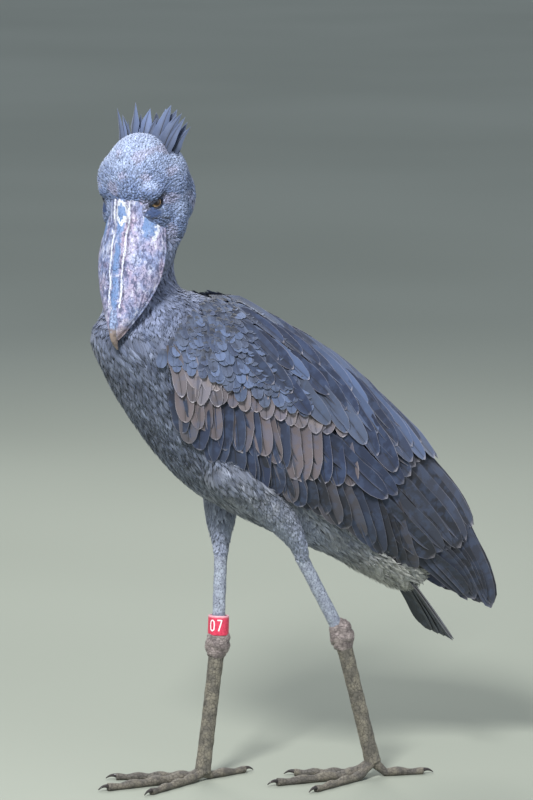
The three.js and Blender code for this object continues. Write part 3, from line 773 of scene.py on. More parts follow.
@dataclass
class Skin:
    """The one skin under the coat: torso, neck, head, thighs and the wings' roots."""

    voxel: float = 3.5
    inset: float = 5.0
    swell: float = 2.0
    points: Array | None = None
    normals: Array | None = None
    areas: Array | None = None
    uvs: Array | None = None
    tree: BVHTree | None = None

    def torso(self) -> Piece:
        """Return the torso's mass."""
        low, high = TORSO[0, 0], TORSO[-1, 0]

        def place(across: Array, along: Array) -> Array:
            t = low + (high - low) * along
            top, bottom, wide = section(TORSO, t)
            a = 2 * np.pi * across
            tall = (top - bottom) / 2 - self.inset
            return body_point(t + 4 * (0.5 - along), (top + bottom) / 2 + tall * np.sin(a),
                              (wide - self.inset) * np.cos(a))

        return shaped_grid("torso_mass", 40, 48, place)

    def wing_root(self, hand: int) -> Piece:
        """Return the thin bed that one folded wing's feathers grow from."""
        start, end = -644.0, -30.0

        def place(across: Array, along: Array) -> Array:
            t = start + (end - start) * along
            low, high = low_edge(t) + 5, 64 + 18 * smoothstep(-640, -520, t)
            ends = np.clip(np.minimum(0.3 + along * 7, 0.3 + (1 - along) * 7), 0, 1)
            a = 2 * np.pi * across
            phi = (low + high) / 2 + (high - low) / 2 * np.cos(a) * (0.75 + 0.25 * ends)
            lift = -7 + 6.5 * np.sin(a) * ends
            return wing_point(t, phi, lift, hand)

        return shaped_grid(f"wing_bed_{hand}", 40, 40, place)

    def head(self) -> list[Piece]:
        """Return the skull's masses with cheeks and a brow over each eye."""
        made = []
        browed = [[-26, 19, side * 38, 12, 18, 14] for side in (1, -1)]
        cheeks = [[along, depth, hand * side, tall, wide, wide] for hand in (1, -1)
                  for along, depth, side, tall, wide in ((6, 80, 34, 52, 31), (50, 76, 27, 44, 24))]
        basis = np.column_stack([BILL_AXIS, CULMEN_OUT, HEAD_LEFT])
        for along, depth, side, *radii in [*SKULL.tolist(), *browed, *cheeks]:
            bpy.ops.object.select_all(action="DESELECT")
            bpy.ops.mesh.primitive_uv_sphere_add(segments=36, ring_count=24, radius=1)
            ball = bpy.context.object
            centre = Vector(to_metres(head_point(along, depth, side)))
            matrix = Matrix((basis * ((np.array(radii) + self.swell) * MM)).tolist()).to_4x4()
            ball.data.transform(Matrix.Translation(centre) @ matrix)
            made.append(ball)
        return made

    def build(self, legs: Sequence["Leg"]) -> Piece:
        """Return the skin and keep its face places for the feathers.

        Args:
            legs: both legs, whose feathered thighs belong to the skin.

        Returns:
            The skin's object.
        """
        neck = NECK.copy()
        neck[:, 3:] -= 3.5
        parts = [self.torso(), self.wing_root(1), self.wing_root(-1), *self.head(),
                 shaped_grid("neck_mass", 32, 30, tube_place(neck, (1, 0, 0)))]
        for leg in legs:
            thigh = leg.thigh.copy()
            thigh[:, 3:] -= np.minimum(3.0, thigh[:, 3:4] * 0.12)
            thigh[0, 3:] *= 0.86
            buried = thigh[0] + np.array([-leg.hand * 22, -6, 34, -24, -20])
            thigh = np.vstack([buried, thigh])
            parts.append(shaped_grid("thigh_mass", 28, 24, tube_place(thigh, (1, 0, 0))))
        select_only(*parts)
        bpy.ops.object.join()
        skin = bpy.context.object
        skin.name = skin.data.name = "skin"
        apply_modifier(skin, "REMESH", mode="VOXEL", voxel_size=self.voxel * MM, use_smooth_shade=True)
        apply_modifier(skin, "SMOOTH", factor=0.6, iterations=14)
        for layer in list(skin.data.uv_layers):
            skin.data.uv_layers.remove(layer)
        skin.data.uv_layers.new(name="OFBake")
        bpy.ops.object.mode_set(mode="EDIT")
        bpy.ops.mesh.select_all(action="SELECT")
        bpy.ops.uv.smart_project(angle_limit=math.radians(60), island_margin=0.002)
        bpy.ops.object.mode_set(mode="OBJECT")
        self.read(skin)
        self.tree = BVHTree.FromObject(skin, bpy.context.evaluated_depsgraph_get())
        return skin

    def read(self, skin: Piece) -> None:
        """Keep each face's centre, normal, area and bake place."""
        mesh = skin.data
        self.points = to_model(read_rows(mesh.polygons, "center", 3))
        self.normals = read_rows(mesh.polygons, "normal", 3)
        self.areas = read_rows(mesh.polygons, "area", 1)[:, 0] / MM ** 2
        uv = read_rows(mesh.uv_layers["OFBake"].data, "uv", 2)
        start = np.empty(len(mesh.polygons), np.int32)
        mesh.polygons.foreach_get("loop_start", start)
        self.uvs = (uv[start] + uv[start + 1] + uv[start + 2]) / 3

    def scatter(self, mask: Array, spacing: float, seed: int) -> Array:
        """Return face numbers spread over part of the skin.

        Args:
            mask: which faces may carry a root.
            spacing: mean distance between roots.
            seed: the random draw's seed.

        Returns:
            Numbers of faces, by their area.
        """
        rng = np.random.default_rng(seed)
        where = np.flatnonzero(mask)
        chance = self.areas[where] / spacing ** 2
        picks = rng.random(len(where)) < chance
        return where[picks]


@dataclass
class Leg:
    """One leg: feathered thigh, bare shank, ankle, tarsus, toes and claws."""

    hand: int
    thigh: Array
    knee: Array
    ankle: Array
    foot: Array

    @property
    def side(self) -> str:
        """Return left or right."""
        return side_name(self.hand)


LEGS = (
    Leg(1, np.array([[66, -150, 535, 46, 40], [72, -118, 505, 42, 36], [76, -72, 468, 36, 30],
                     [70, -38, 432, 28, 23], [64, -14, 398, 19, 15], [60, -4, 372, 11.5, 11]], float),
        np.array([60.0, -4, 372]), np.array([55.0, 67, 242]), np.array([46.0, 128, 24])),
    Leg(-1, np.array([[-60, -86, 520, 46, 40], [-64, -88, 488, 42, 36], [-64, -92, 452, 34, 30],
                      [-58, -96, 414, 27, 22], [-51, -99, 384, 16, 14], [-47, -101, 362, 11, 11]], float),
        np.array([-47.0, -101, 362]), np.array([-36.0, -111, 227]), np.array([-46.0, -134, 12])),
)


def ripple(p: Array, size: float, seed: int) -> Array:
    """Return a smooth value of about -1 to 1 that varies over space, for soft changes of tone."""
    rng = np.random.default_rng(seed)
    total = np.zeros(p.shape[:-1])
    for _ in range(7):
        way = unit(rng.normal(size=3)) * rng.uniform(0.6, 1.7) * 2 * math.pi / size
        total += np.sin(p @ way + rng.uniform(0, 6.28))
    return total / 3.2


def rgb(red: float, green: float, blue: float) -> Array:
    """Return a linear colour as an array of three."""
    return np.array(srgb(red, green, blue)[:3])


def blend(a: Array, b: Array, share: Array) -> Array:
    """Return a mixed towards b."""
    return a * (1 - share[..., None]) + b * share[..., None]


@dataclass
class Regions:
    """Where each kind of coat grows, for points on the skin in the modelling frame."""

    points: Array
    normals: Array
    along: Array = field(init=False)
    depth: Array = field(init=False)
    side: Array = field(init=False)
    t: Array = field(init=False)
    phi: Array = field(init=False)
    head: Array = field(init=False)
    neck: Array = field(init=False)
    thigh: Array = field(init=False)
    back: Array = field(init=False)
    under: Array = field(init=False)
    covered: Array = field(init=False)

    def __post_init__(self) -> None:
        """Work out the shares of each region."""
        p = self.points
        self.along, self.depth, self.side = head_place(p)
        self.t, height, _ = body_place(p)
        x, y, z = p.T
        self.head = smoothstep(885, 925, z)
        axis_x = np.interp(z, NECK[::-1, 2], NECK[::-1, 0])
        axis_y = np.interp(z, NECK[::-1, 2], NECK[::-1, 1])
        off_axis = np.hypot(x - axis_x, y - axis_y)
        self.neck = smoothstep(735, 800, z) * (1 - self.head) * (off_axis < 100)
        self.thigh = np.zeros(len(p))
        for leg in LEGS:
            cx = np.interp(z, leg.thigh[::-1, 2], leg.thigh[::-1, 0])
            cy = np.interp(z, leg.thigh[::-1, 2], leg.thigh[::-1, 1])
            near = smoothstep(62, 44, np.hypot(x - cx, y - cy)) * smoothstep(540, 495, z)
            self.thigh = np.maximum(self.thigh, near)
        centre, tall, wide = section(WING_FORM, self.t)
        self.phi = np.degrees(np.arctan2((height - centre) / tall, np.abs(x) / wide))
        self.back = smoothstep(40, 66, self.phi) * (1 - self.neck) * (1 - self.head)
        self.under = smoothstep(-230, -120, self.t) * smoothstep(0, -30, self.phi)
        edge = low_edge(self.t) + 13 - 20 * smoothstep(-260, -180, self.t)
        covered = (self.t > -588) & (self.t < -40) & (self.phi > edge) & (self.phi < 74)
        self.covered = covered & (self.thigh < 0.5) & (z < 800)

    def eye_zone(self) -> Array:
        """Return how far each point is inside the bare ring and patch about an eye, 0 to 1."""
        zone = np.zeros(len(self.points))
        for hand in (1, -1):
            eye = EyeFrame(hand)
            r = self.points - eye.centre
            q, h = r @ eye.slit, r @ eye.up
            ring = smoothstep(1.15, 0.9, np.hypot(q / 13, (h + 2.5) / 8))
            low_q, low_h = q + 14, h + 11.4
            wide, tall = 0.81 * low_q - 0.59 * low_h, 0.59 * low_q + 0.81 * low_h
            patch = smoothstep(1.15, 0.9, np.hypot(wide / 13, tall / 7.5))
            near = np.linalg.norm(r, axis=1) < 34
            zone = np.maximum(zone, np.maximum(ring, patch) * near)
        return zone

    def eye_crease_shade(self) -> Array:
        """Return how much painted shade darkens the creases before, behind and below each eye, 0 to 1."""
        dark = np.zeros(len(self.points))
        for hand in (1, -1):
            eye = EyeFrame(hand)
            r = self.points - eye.centre
            q, h = r @ eye.slit, r @ eye.up
            reach = np.abs(q)
            beside = bell(h - 1.5, 3.2) * smoothstep(3, 11, reach) * smoothstep(27, 15, reach)
            below = bell(0.59 * (q + 14) + 0.81 * (h + 11.4) + 8.2, 1.9) * smoothstep(21, 15, np.abs(q + 10))
            dark = np.maximum(dark, np.maximum(beside, below) * (np.linalg.norm(r, axis=1) < 36))
        return dark

    def colour(self) -> Array:
        """Return the coat's colour at each point, with painted light on the head's upper side and painted
        shade in the creases by the eyes.
        """
        p, n = self.points, self.normals
        tone = ripple(p, 90, 5)
        fine = ripple(p, 26, 6)
        # Painted light: the head is paler where it faces up and forward, as if lit from above, with random
        # ripples in the tone.
        crown = smoothstep(-0.1, 0.75, n @ unit(UP + 0.5 * FACING))
        crown = np.clip(crown * 0.9 + 0.16 * ripple(p, 16, 7) + 0.1 * tone, 0, 1)
        head = blend(rgb(112, 130, 170), rgb(172, 187, 219), crown)
        blue = smoothstep(-85, -50, self.along) * smoothstep(75, 25, self.depth)
        head = blend(head, rgb(94, 113, 156), 0.6 * blue * np.clip(0.6 + 0.6 * ripple(p, 17, 9), 0, 1))
        lilac = smoothstep(0.35, 0.9, ripple(p, 38, 8)) * 0.5
        head = blend(head, rgb(172, 166, 190), lilac)
        # Painted shade in the creases about the eyes.
        head = blend(head, rgb(30, 34, 46), 0.85 * self.eye_crease_shade())
        neck = blend(rgb(102, 112, 140), rgb(136, 145, 174), 0.5 + 0.4 * fine)
        breast = blend(rgb(54, 62, 82), rgb(108, 116, 136), 0.5 + 0.45 * fine)
        belly = blend(rgb(98, 104, 118), rgb(150, 153, 162), np.clip(0.45 + 0.5 * fine, 0, 1))
        mantle = blend(rgb(52, 60, 80), rgb(90, 101, 126), np.clip(0.4 + 0.5 * tone, 0, 1))
        thigh = blend(rgb(140, 148, 170), rgb(168, 175, 196), np.clip(0.5 + 0.4 * fine, 0, 1))
        rump = blend(rgb(150, 152, 150), rgb(196, 194, 186), np.clip(0.5 + 0.5 * fine, 0, 1))
        colour = blend(breast, belly, smoothstep(-560, -380, self.t))
        colour = blend(colour, mantle, self.back)
        colour = blend(colour, rump, self.under * 0.8)
        colour = blend(colour, thigh, self.thigh * smoothstep(505, 410, p[:, 2]))
        colour = blend(colour, neck, self.neck)
        nape = smoothstep(-0.1, 0.7, n @ unit(np.array([0.0, 0.75, 0.65]))) * smoothstep(850, 770, p[:, 2])
        nape = nape * smoothstep(690, 740, p[:, 2])
        colour = blend(colour, blend(rgb(52, 60, 78), rgb(98, 108, 132), 0.5 + 0.45 * fine), nape * 0.8)
        return blend(colour, head, self.head)


@dataclass
class EyeFrame:
    """One eye's place and the directions of its slit."""

    hand: int
    centre: Array = field(init=False)
    gaze: Array = field(init=False)
    slit: Array = field(init=False)
    up: Array = field(init=False)

    def __post_init__(self) -> None:
        """Work out the centre, the gaze, and the slit's line and upright."""
        self.centre = head_point(EYE_ALONG, EYE_DEPTH, self.hand * EYE_SIDE)
        self.gaze = unit(0.62 * CULMEN_OUT + 0.785 * self.hand * HEAD_LEFT)
        slit = -0.683 * BILL_AXIS - 0.574 * CULMEN_OUT + 0.4525 * self.hand * HEAD_LEFT
        self.slit = unit(slit - self.gaze * (slit @ self.gaze))
        up = np.cross(self.gaze, self.slit)
        self.up = up * np.sign(up @ UP)


SHORT = ((0, 0.5), (0.5, 1.0), (1, 0.25))
SCRUFF = ((0, 0.35), (0.4, 0.9), (0.75, 0.75), (1, 0.08))
ROUND = ((0, 0.4), (0.3, 0.85), (0.62, 1.0), (0.85, 0.8), (1, 0.2))
SCALE = ((0, 0.4), (0.3, 0.85), (0.62, 1.0), (0.85, 0.84), (0.96, 0.5), (1, 0.2))


@dataclass(frozen=True)
class Patch:
    """The feathers of one region of the coat.

    The size is their length and width, sink how far the roots start under the skin, rise how far the
    tips stand off, vary and stray how much the tone and the lie vary, and rim how pale the edges are.
    """

    name: str
    finish: str
    slot: str
    spacing: float
    size: tuple[float, float]
    sink: float
    rise: float
    seed: int
    vary: float = 0.1
    stray: float = 0.12
    rim: float = 0.6
    profile: tuple[tuple[float, float], ...] = SCRUFF
    keel: float = 0.16
    nodes: tuple[str, ...] = ()


BODY_PATCHES = (
    Patch("head_feathers", "head", "crown_feathers", 2.2, (6.6, 3.2), 0.6, 1.5, 11, vary=0.2, stray=0.35,
          profile=SHORT),
    Patch("nape_feathers", "head", "crown_feathers", 3.2, (13, 4.0), 0.8, 2.4, 12, vary=0.14),
    Patch("neck_feathers", "soft", "neck_feathers", 3.5, (24, 5.2), 1.0, 3.4, 13, vary=0.2, stray=0.16,
          nodes=("neck",)),
    Patch("breast_feathers", "soft", "body_feathers", 3.8, (46, 7.0), 1.5, 4.5, 14, vary=0.24, stray=0.13,
          rim=0.4),
    Patch("belly_feathers", "soft", "body_feathers", 4.0, (42, 7.0), 1.5, 5.0, 15, vary=0.22, stray=0.15,
          rim=0.45),
    Patch("vent_feathers", "down", "body_feathers", 4.2, (38, 7), 1.0, 8.0, 16, vary=0.14, stray=0.3),
    Patch("mantle_feathers", "back", "body_feathers", 7.0, (34, 17), 1.5, 5.0, 17, vary=0.18, stray=0.08,
          rim=0.8, profile=ROUND, keel=0.07),
)
THIGH_PATCH = Patch("thigh_feathers", "soft", "thigh_feathers", 3.3, (17, 4.2), 0.8, 2.4, 18, vary=0.16)
COAT_FINISHES = {
    "head": FeatherFinish("head_plumage", srgb(196, 206, 232), rim_width=0.3, rim_amount=0.5, shaft=0.15,
                          streak=0.22, barbs=5.0, painted_sheen=0.05, depth=0.12),
    "soft": FeatherFinish("soft_plumage", srgb(176, 182, 200), rim_width=0.26, rim_amount=0.5, shaft=0.35,
                          streak=0.16, barbs=12.0, painted_sheen=0.12),
    "back": FeatherFinish("back_plumage", srgb(150, 160, 184), rim_width=0.2, rim_amount=0.7, shaft=0.5,
                          streak=0.1, barbs=14.0, painted_sheen=0.25),
    "down": FeatherFinish("down_plumage", srgb(206, 204, 196), rim_width=0.35, rim_amount=0.4, shaft=0.1,
                          streak=0.1, barbs=10.0, painted_sheen=0.0),
}


@dataclass
class Coat:
    """The small feathers of head, neck, breast, belly, back, shoulders, thighs and undertail."""

    skin: Skin
    regions: Regions = field(init=False)
    colours: Array = field(init=False)
    bare: Array = field(init=False)
    flow: Array = field(init=False)

    def __post_init__(self) -> None:
        """Sort the skin into regions, with each place's colour and the way its feathers lie."""
        self.regions = Regions(self.skin.points, self.skin.normals)
        self.colours = self.regions.colour()
        self.bare = self.regions.eye_zone() > 0.12
        self.flow = self.lie()

    def lie(self) -> Array:
        """Return the way the feathers lie at each place on the skin."""
        r, p, n = self.regions, self.skin.points, self.skin.normals
        back = np.array([0.0, math.cos(TILT), -math.sin(TILT)])
        front = smoothstep(46, 6, r.depth)[:, None]
        low = smoothstep(-20, 25, r.along)[:, None] * (1 - front)
        outward = HEAD_LEFT * (0.45 * np.clip(r.side / 20, -1, 1))[:, None]
        head = -CULMEN_OUT + outward + BILL_AXIS * (0.6 * low - 1.3 * front - 0.35)
        behind = smoothstep(60, 110, r.depth)[:, None]
        head = head * (1 - behind) + (-UP - 0.3 * CULMEN_OUT) * behind
        down = np.array([0.0, 0.1, -1.0])
        breast = unit(down * 0.75 + back * 0.65 + np.sign(p[:, :1]) * np.array([0.12, 0.0, 0.0]))
        flow = blend(breast, back, np.maximum(r.back, smoothstep(-520, -330, r.t)))
        flow = blend(flow, np.array([0.0, 0.25, -1.0]), r.thigh)
        flow = blend(flow, down, r.neck)
        flow = blend(flow, head, r.head)
        flow = flow + 0.16 * np.stack([ripple(p, 60, 1), ripple(p, 60, 2), ripple(p, 60, 3)], -1)
        return unit(flow - (flow * n).sum(1)[:, None] * n)

    def under(self, places: Array) -> tuple[Array, Array]:
        """Return the nearest places on the skin, and its outward directions there."""
        found = np.empty((len(places), 6))
        for i, place in enumerate(to_metres(places)):
            spot, normal, _, _ = self.skin.tree.find_nearest(Vector(place))
            found[i] = (*spot, *normal)
        return to_model(found[:, :3]), found[:, 3:]

    def grow(self, patch: Patch, mask: Array) -> Piece:
        """Return one region's feathers.

        Args:
            patch: what they are like.
            mask: where they may grow.

        Returns:
            Their mesh.
        """
        rng = np.random.default_rng(patch.seed)
        pick = self.skin.scatter(mask & ~self.bare, patch.spacing, patch.seed)
        count = len(pick)
        normal = self.skin.normals[pick]
        root = self.skin.points[pick] + rng.normal(0, patch.spacing * 0.25, (count, 3))
        along = unit(self.flow[pick] + rng.normal(0, patch.stray, (count, 3)))
        along = unit(along - (along * normal).sum(1)[:, None] * normal)
        length = patch.size[0] * rng.uniform(0.8, 1.2, count)
        width = patch.size[1] * rng.uniform(0.82, 1.18, count)
        tone = np.clip(1 + rng.normal(0, patch.vary, count), 0.55, 1.5)
        rim = patch.rim * rng.uniform(0.5, 1.2, count)
        lift = patch.rise * rng.uniform(0.5, 1.4, count)
        spot, below = self.under(root + along * length[:, None])
        tint = np.column_stack([self.colours[pick] * tone[:, None], rim])
        return Plumage(patch.name, patch.profile, patch.keel).build(
            root - normal * patch.sink, along, normal, spot + below * lift[:, None], below, width, tint,
            self.skin.uvs[pick])

    def shoulder(self, hand: int) -> Piece:
        """Return one shoulder's small scale-like coverts, in rows over the roots of the wing's quills.

        Args:
            hand: 1 for the left wing, -1 for the right.

        Returns:
            Their mesh.
        """
        rng = np.random.default_rng(50 + hand)
        rows = []
        for row, phi in enumerate(np.arange(-8, 82, 4.6)):
            first = np.interp(phi, (-8, 20, 34, 54, 64, 78), (-668, -670, -660, -656, -628, -612))
            last = np.interp(phi, (-8, 13, 26, 34, 50, 78), (-664, -570, -470, -440, -520, -550))
            rows += [(t, phi) for t in np.arange(first + 6 * (row % 2), last, 12.0)]
        count = len(rows)
        t, phi = (np.array(rows) + rng.normal(0, 1, (count, 2)) * (2.2, 1.1)).T
        turn = np.radians(np.interp(phi, (-12, 20, 50, 78), (52, 44, 24, 8)) + rng.normal(0, 7, count))
        size = np.interp(t, (-670, -600, -440), (28, 38, 44)) * rng.uniform(0.88, 1.12, count)
        lift = 3.2 + 8.6 * smoothstep(-668, -600, t)
        tip_t, tip_phi = t + size * np.cos(turn), phi - size * np.sin(turn) / 1.95
        root = wing_point(t, phi, lift - 1.2, hand)
        tip = wing_point(tip_t, tip_phi, lift + rng.uniform(2.0, 3.6, count), hand)
        up, tip_up = wing_normal(t, phi, hand), wing_normal(tip_t, tip_phi, hand)
        way = unit(tip - root)
        way = unit(way - (way * up).sum(1)[:, None] * up)
        shades = np.array([rgb(*c) for c in ((84, 98, 128), (58, 68, 92), (72, 84, 110), (66, 74, 94))])
        tint = shades[rng.integers(len(shades), size=count)] * rng.uniform(0.8, 1.2, count)[:, None]
        rim = rng.uniform(0.7, 1.3, count)
        nearest = [self.skin.tree.find_nearest(Vector(place))[2] for place in to_metres(root)]
        return Plumage(f"shoulder_{side_name(hand)}", SCALE, 0.05).build(
            root, way, up, tip, tip_up, size * rng.uniform(0.46, 0.56, count), np.column_stack([tint, rim]),
            self.skin.uvs[nearest])

    def masks(self) -> dict[str, Array]:
        """Return where each region's feathers may grow, by the name of its piece."""
        r = self.regions
        ridge, wide, lip = section(BILL, r.along)
        bend = np.arcsin(np.clip(np.abs(r.side) / wide, 0, 1) ** 1.22)
        outer = -ridge + (lip + ridge) * (1 - np.cos(bend)) ** 0.8
        in_bill = (r.along > -8) & (np.abs(r.side) < wide - 1) & (r.depth > outer + 0.8) & (r.depth < lip)
        face = (r.head > 0.5) & ~in_bill
        front = r.depth < 92 + 0.5 * np.clip(-r.along - 20, 0, 90)
        trunk = (r.neck <= 0.35) & (r.head <= 0.5) & (r.thigh < 0.5) & ~r.covered
        trunk = trunk & ((r.t < -80) | ((r.phi < -35) & (r.t < -40)))
        below = trunk & (r.back < 0.5)
        return {
            "head_feathers": face & front,
            "nape_feathers": face & ~front,
            "neck_feathers": (r.neck > 0.35) & (r.head <= 0.5) & ~in_bill,
            "breast_feathers": below & (r.t < -440),
            "belly_feathers": below & (r.t >= -440) & (r.under < 0.5),
            "vent_feathers": below & (r.under >= 0.5),
            "mantle_feathers": trunk & (r.back >= 0.5),
            "thigh_feathers": (r.thigh >= 0.5) & (r.neck <= 0.35),
        }

    def build(self) -> None:
        """Make every region's mesh."""
        finishes = {name: finish.make() for name, finish in COAT_FINISHES.items()}
        masks = self.masks()

        def cover(patch: Patch) -> None:
            dress(self.grow(patch, masks[patch.name]), finishes[patch.finish], patch.slot, *patch.nodes)

        for patch in BODY_PATCHES:
            cover(patch)
        for hand in (1, -1):
            dress(self.shoulder(hand), finishes["back"], "wing_feathers")
        cover(THIGH_PATCH)


SLATE, BLUE, BROWN, DARK = (43, 52, 74), (76, 91, 122), (104, 95, 99), (29, 33, 45)
INK = (35, 45, 70)


@dataclass(frozen=True)
class Tier:
    """A row of feathers on the folded wing: where they come into view, and where their tips are."""

    name: str
    count: int
    roots: tuple[tuple[float, float], ...]
    tips: tuple[tuple[float, float], ...]
    width: tuple[float, float]
    low: float
    high: float
    tints: tuple[tuple[float, float, float], ...]
    rim: float = 0.7
    tip: float = 0.45
    hidden: float = 0.5
    roll: float = 0.12
    camber: float = 0.1
    rows: int = 1
    row_first: tuple[float, float] = (0.0, 0.0)
    row_last: tuple[float, float] = (0.0, 0.0)


MEDIAN_ROOTS = ((-640, -12), (-548, 6), (-440, 20), (-350, 34))
MEDIAN_TIPS = ((-600, -29), (-518, -6), (-414, 7), (-322, 20))
TIERS = (
    Tier("primaries", 9, ((-110, -22), (-100, -4), (-80, 22), (-60, 40)),
         ((46, -36), (66, -24), (94, -6), (98, 16)), (34, 34), -2, 0, (DARK, (48, 53, 68)), rim=0.3, tip=0.3,
         hidden=0.6),
    Tier("secondaries", 15, ((-500, -16), (-430, -12), (-340, -8), (-240, -10), (-150, -14)),
         ((-404, -38), (-330, -34), (-240, -34), (-140, -42), (-50, -48)), (36, 38), 0, 3,
         (DARK, SLATE, (70, 68, 76)), rim=0.45, tip=0.3, hidden=0.7),
    Tier("inner secondaries", 9, ((-200, -6), (-190, 20), (-190, 50), (-180, 78)),
         ((-60, -20), (-34, 6), (-24, 40), (-24, 72)), (38, 38), 1, 4, (DARK, (52, 57, 72)), rim=0.4,
         tip=0.35, hidden=0.5),
    Tier("lower coverts", 11, ((-596, -34), (-530, -24), (-450, -18), (-370, -16)),
         ((-556, -49), (-478, -44), (-390, -38), (-300, -32)), (30, 34), 2, 5,
         (SLATE, INK, (84, 80, 86)), rim=0.6),
    Tier("greater coverts", 17, ((-606, -22), (-544, -10), (-484, 0), (-408, 6), (-322, 16)),
         ((-562, -38), (-488, -30), (-424, -20), (-340, -20), (-266, -4)), (28, 34), 3, 7,
         (BROWN, SLATE, INK, (92, 84, 88)), rim=0.75),
    Tier("tertials", 8, ((-340, 8), (-320, 28), (-330, 52), (-320, 76)),
         ((-206, 0), (-190, 20), (-190, 46), (-190, 68)), (36, 40), 6, 9, (INK, SLATE, (66, 66, 78)),
         rim=0.5, tip=0.38),
    Tier("median coverts", 17, MEDIAN_ROOTS, MEDIAN_TIPS, (23, 31), 5, 9,
         (BROWN, (112, 104, 107), (98, 92, 97), (120, 112, 114)), rim=1.2, rows=2,
         row_first=(-16, 7.5), row_last=(-14, 6)),
    Tier("scapulars 1", 8, ((-560, 26), (-470, 28), (-380, 34), (-300, 36)),
         ((-500, 20), (-400, 18), (-300, 22), (-210, 22)), (28, 40), 11, 14, (SLATE, INK, (74, 84, 106)),
         rim=0.6),
    Tier("scapulars 2", 9, ((-580, 42), (-490, 44), (-390, 46), (-280, 46)),
         ((-516, 35), (-410, 35), (-300, 35), (-180, 34)), (28, 42), 12, 15, (SLATE, INK, BLUE), rim=0.6),
    Tier("scapulars 3", 10, ((-580, 58), (-480, 60), (-370, 60), (-270, 60)),
         ((-510, 51), (-390, 49), (-280, 49), (-160, 48)), (28, 42), 12, 15, (SLATE, INK, BLUE), rim=0.6),
    Tier("scapulars 4", 10, ((-580, 74), (-470, 75), (-350, 75), (-250, 74)),
         ((-510, 67), (-380, 65), (-250, 64), (-140, 61)), (28, 42), 12, 15, (SLATE, INK, (74, 84, 106)),
         rim=0.6),
    Tier("spine scapulars", 10, ((-580, 89), (-460, 90), (-330, 89), (-230, 87)),
         ((-510, 82), (-370, 80), (-230, 78), (-120, 75)), (30, 42), 11, 14, (SLATE, INK, (70, 76, 92)),
         rim=0.6),
)


@dataclass
class Wing:
    """One folded wing of overlapping quills and coverts."""

    hand: int
    material: Material
    rng: np.random.Generator = field(init=False)

    def __post_init__(self) -> None:
        """Start this side's own random draws."""
        self.rng = np.random.default_rng(40 + self.hand)

    def quill(self, tier: Tier, root: Array, tip: Array, width: float, number: int) -> Quill:
        """Return one feather of a tier.

        Args:
            tier: the row it belongs to.
            root: where it comes into view, as distance and angle.
            tip: where it ends.
            width: its greatest width.
            number: a number for its seed.

        Returns:
            The feather.
        """
        start = root - tier.hidden * (tip - root)
        sway = self.rng.uniform(-1.6, 1.6)
        drop = self.rng.uniform(-0.8, 0.8)

        def reach(k: Array) -> tuple[Array, Array, Array]:
            t = start[0] + (tip[0] - start[0]) * k
            phi = start[1] + (tip[1] - start[1]) * k + sway * np.sin(np.pi * k)
            early = -5 + (tier.low + 5) * np.minimum(k / 0.3, 1)
            late = (tier.high - tier.low + drop) * np.clip((k - 0.3) / 0.7, 0, 1)
            return t, phi, (early + late) * (0.1 + 0.9 * smoothstep(-668, -586, t))

        def path(k: Array) -> Array:
            t, phi, lift = reach(k)
            return wing_point(t, phi, lift, self.hand)

        def normal(k: Array) -> Array:
            t, phi, _ = reach(k)
            return wing_normal(t, phi, self.hand)

        tint = rgb(*tier.tints[self.rng.integers(len(tier.tints))]) * self.rng.uniform(0.78, 1.2)
        rim = tier.rim * self.rng.uniform(0.5, 1.2)
        roll = self.hand * (tier.roll + self.rng.uniform(-0.05, 0.05))
        return Quill(path, normal, width, (*tint, rim), tip=tier.tip, roll=roll, camber=tier.camber,
                     seed=number)

    def build(self) -> Piece:
        """Return the wing's mesh."""
        side = side_name(self.hand)
        sheet = QuillSheet(f"wing_{side}_feathers", rows=12, columns=6)
        for tier in TIERS:
            first, last = np.array(tier.row_first), np.array(tier.row_last)
            for row in range(tier.rows):
                for i in range(tier.count):
                    k = (i + 0.5 * (row % 2)) / (tier.count - 0.5)
                    shift = (first + (last - first) * k) * row
                    root, tip = self.between(tier.roots, k) + shift, self.between(tier.tips, k) + shift
                    root += self.rng.normal(0, 1, 2) * (2.5, 0.9)
                    tip += self.rng.normal(0, 1, 2) * (4.0, 1.3)
                    width = (tier.width[0] + (tier.width[1] - tier.width[0]) * k) * self.rng.uniform(0.9, 1.1)
                    if root[0] > -646 and root[1] < 92:
                        sheet.quills.append(self.quill(tier, root, tip, width, len(sheet.quills)))
        return dress(sheet.build(), self.material, "wing_feathers", f"wing_{side}")

    @staticmethod
    def between(points: Sequence[tuple[float, float]], k: float) -> Array:
        """Return the place at a share of the way along a row of evenly counted points."""
        at = np.linspace(0, 1, len(points))
        return np.array([np.interp(k, at, values) for values in zip(*points)])


@dataclass
class Tail:
    """The short tail: a fan of dark quills over pale undertail down."""

    material: Material
    count: int = 14
    length: float = 154.0
    root_half: float = 22.0
    spread: float = 28.0

    def build(self) -> Piece:
        """Return the tail's mesh."""
        rng = np.random.default_rng(61)
        sheet = QuillSheet("tail_feathers", rows=16, columns=6)
        for i in range(self.count):
            k = -1 + 2 * i / (self.count - 1)
            lift = 5 * abs(k) + (1.4 if i % 2 else -1.4)

            def path(q: Array, k: float = k, lift: float = lift) -> Array:
                t = -70 + (self.length - 16 * k * k) * q
                return body_point(t, 383 - 38 * q ** 1.2 - lift, k * (self.root_half + self.spread * q))

            def normal(q: Array, k: float = k) -> Array:
                up = unit(body_point(36.0, 134.0, 0.0)) + np.array([1.0, 0, 0]) * k * 0.25
                return np.repeat(unit(up)[None], len(q), 0)

            tint = rgb(34, 40, 48) * rng.uniform(0.8, 1.3)
            sheet.quills.append(Quill(path, normal, 33, (*tint, 0.2), tip=0.22, seed=i))
        return dress(sheet.build(), self.material, "tail_feathers", "tail")


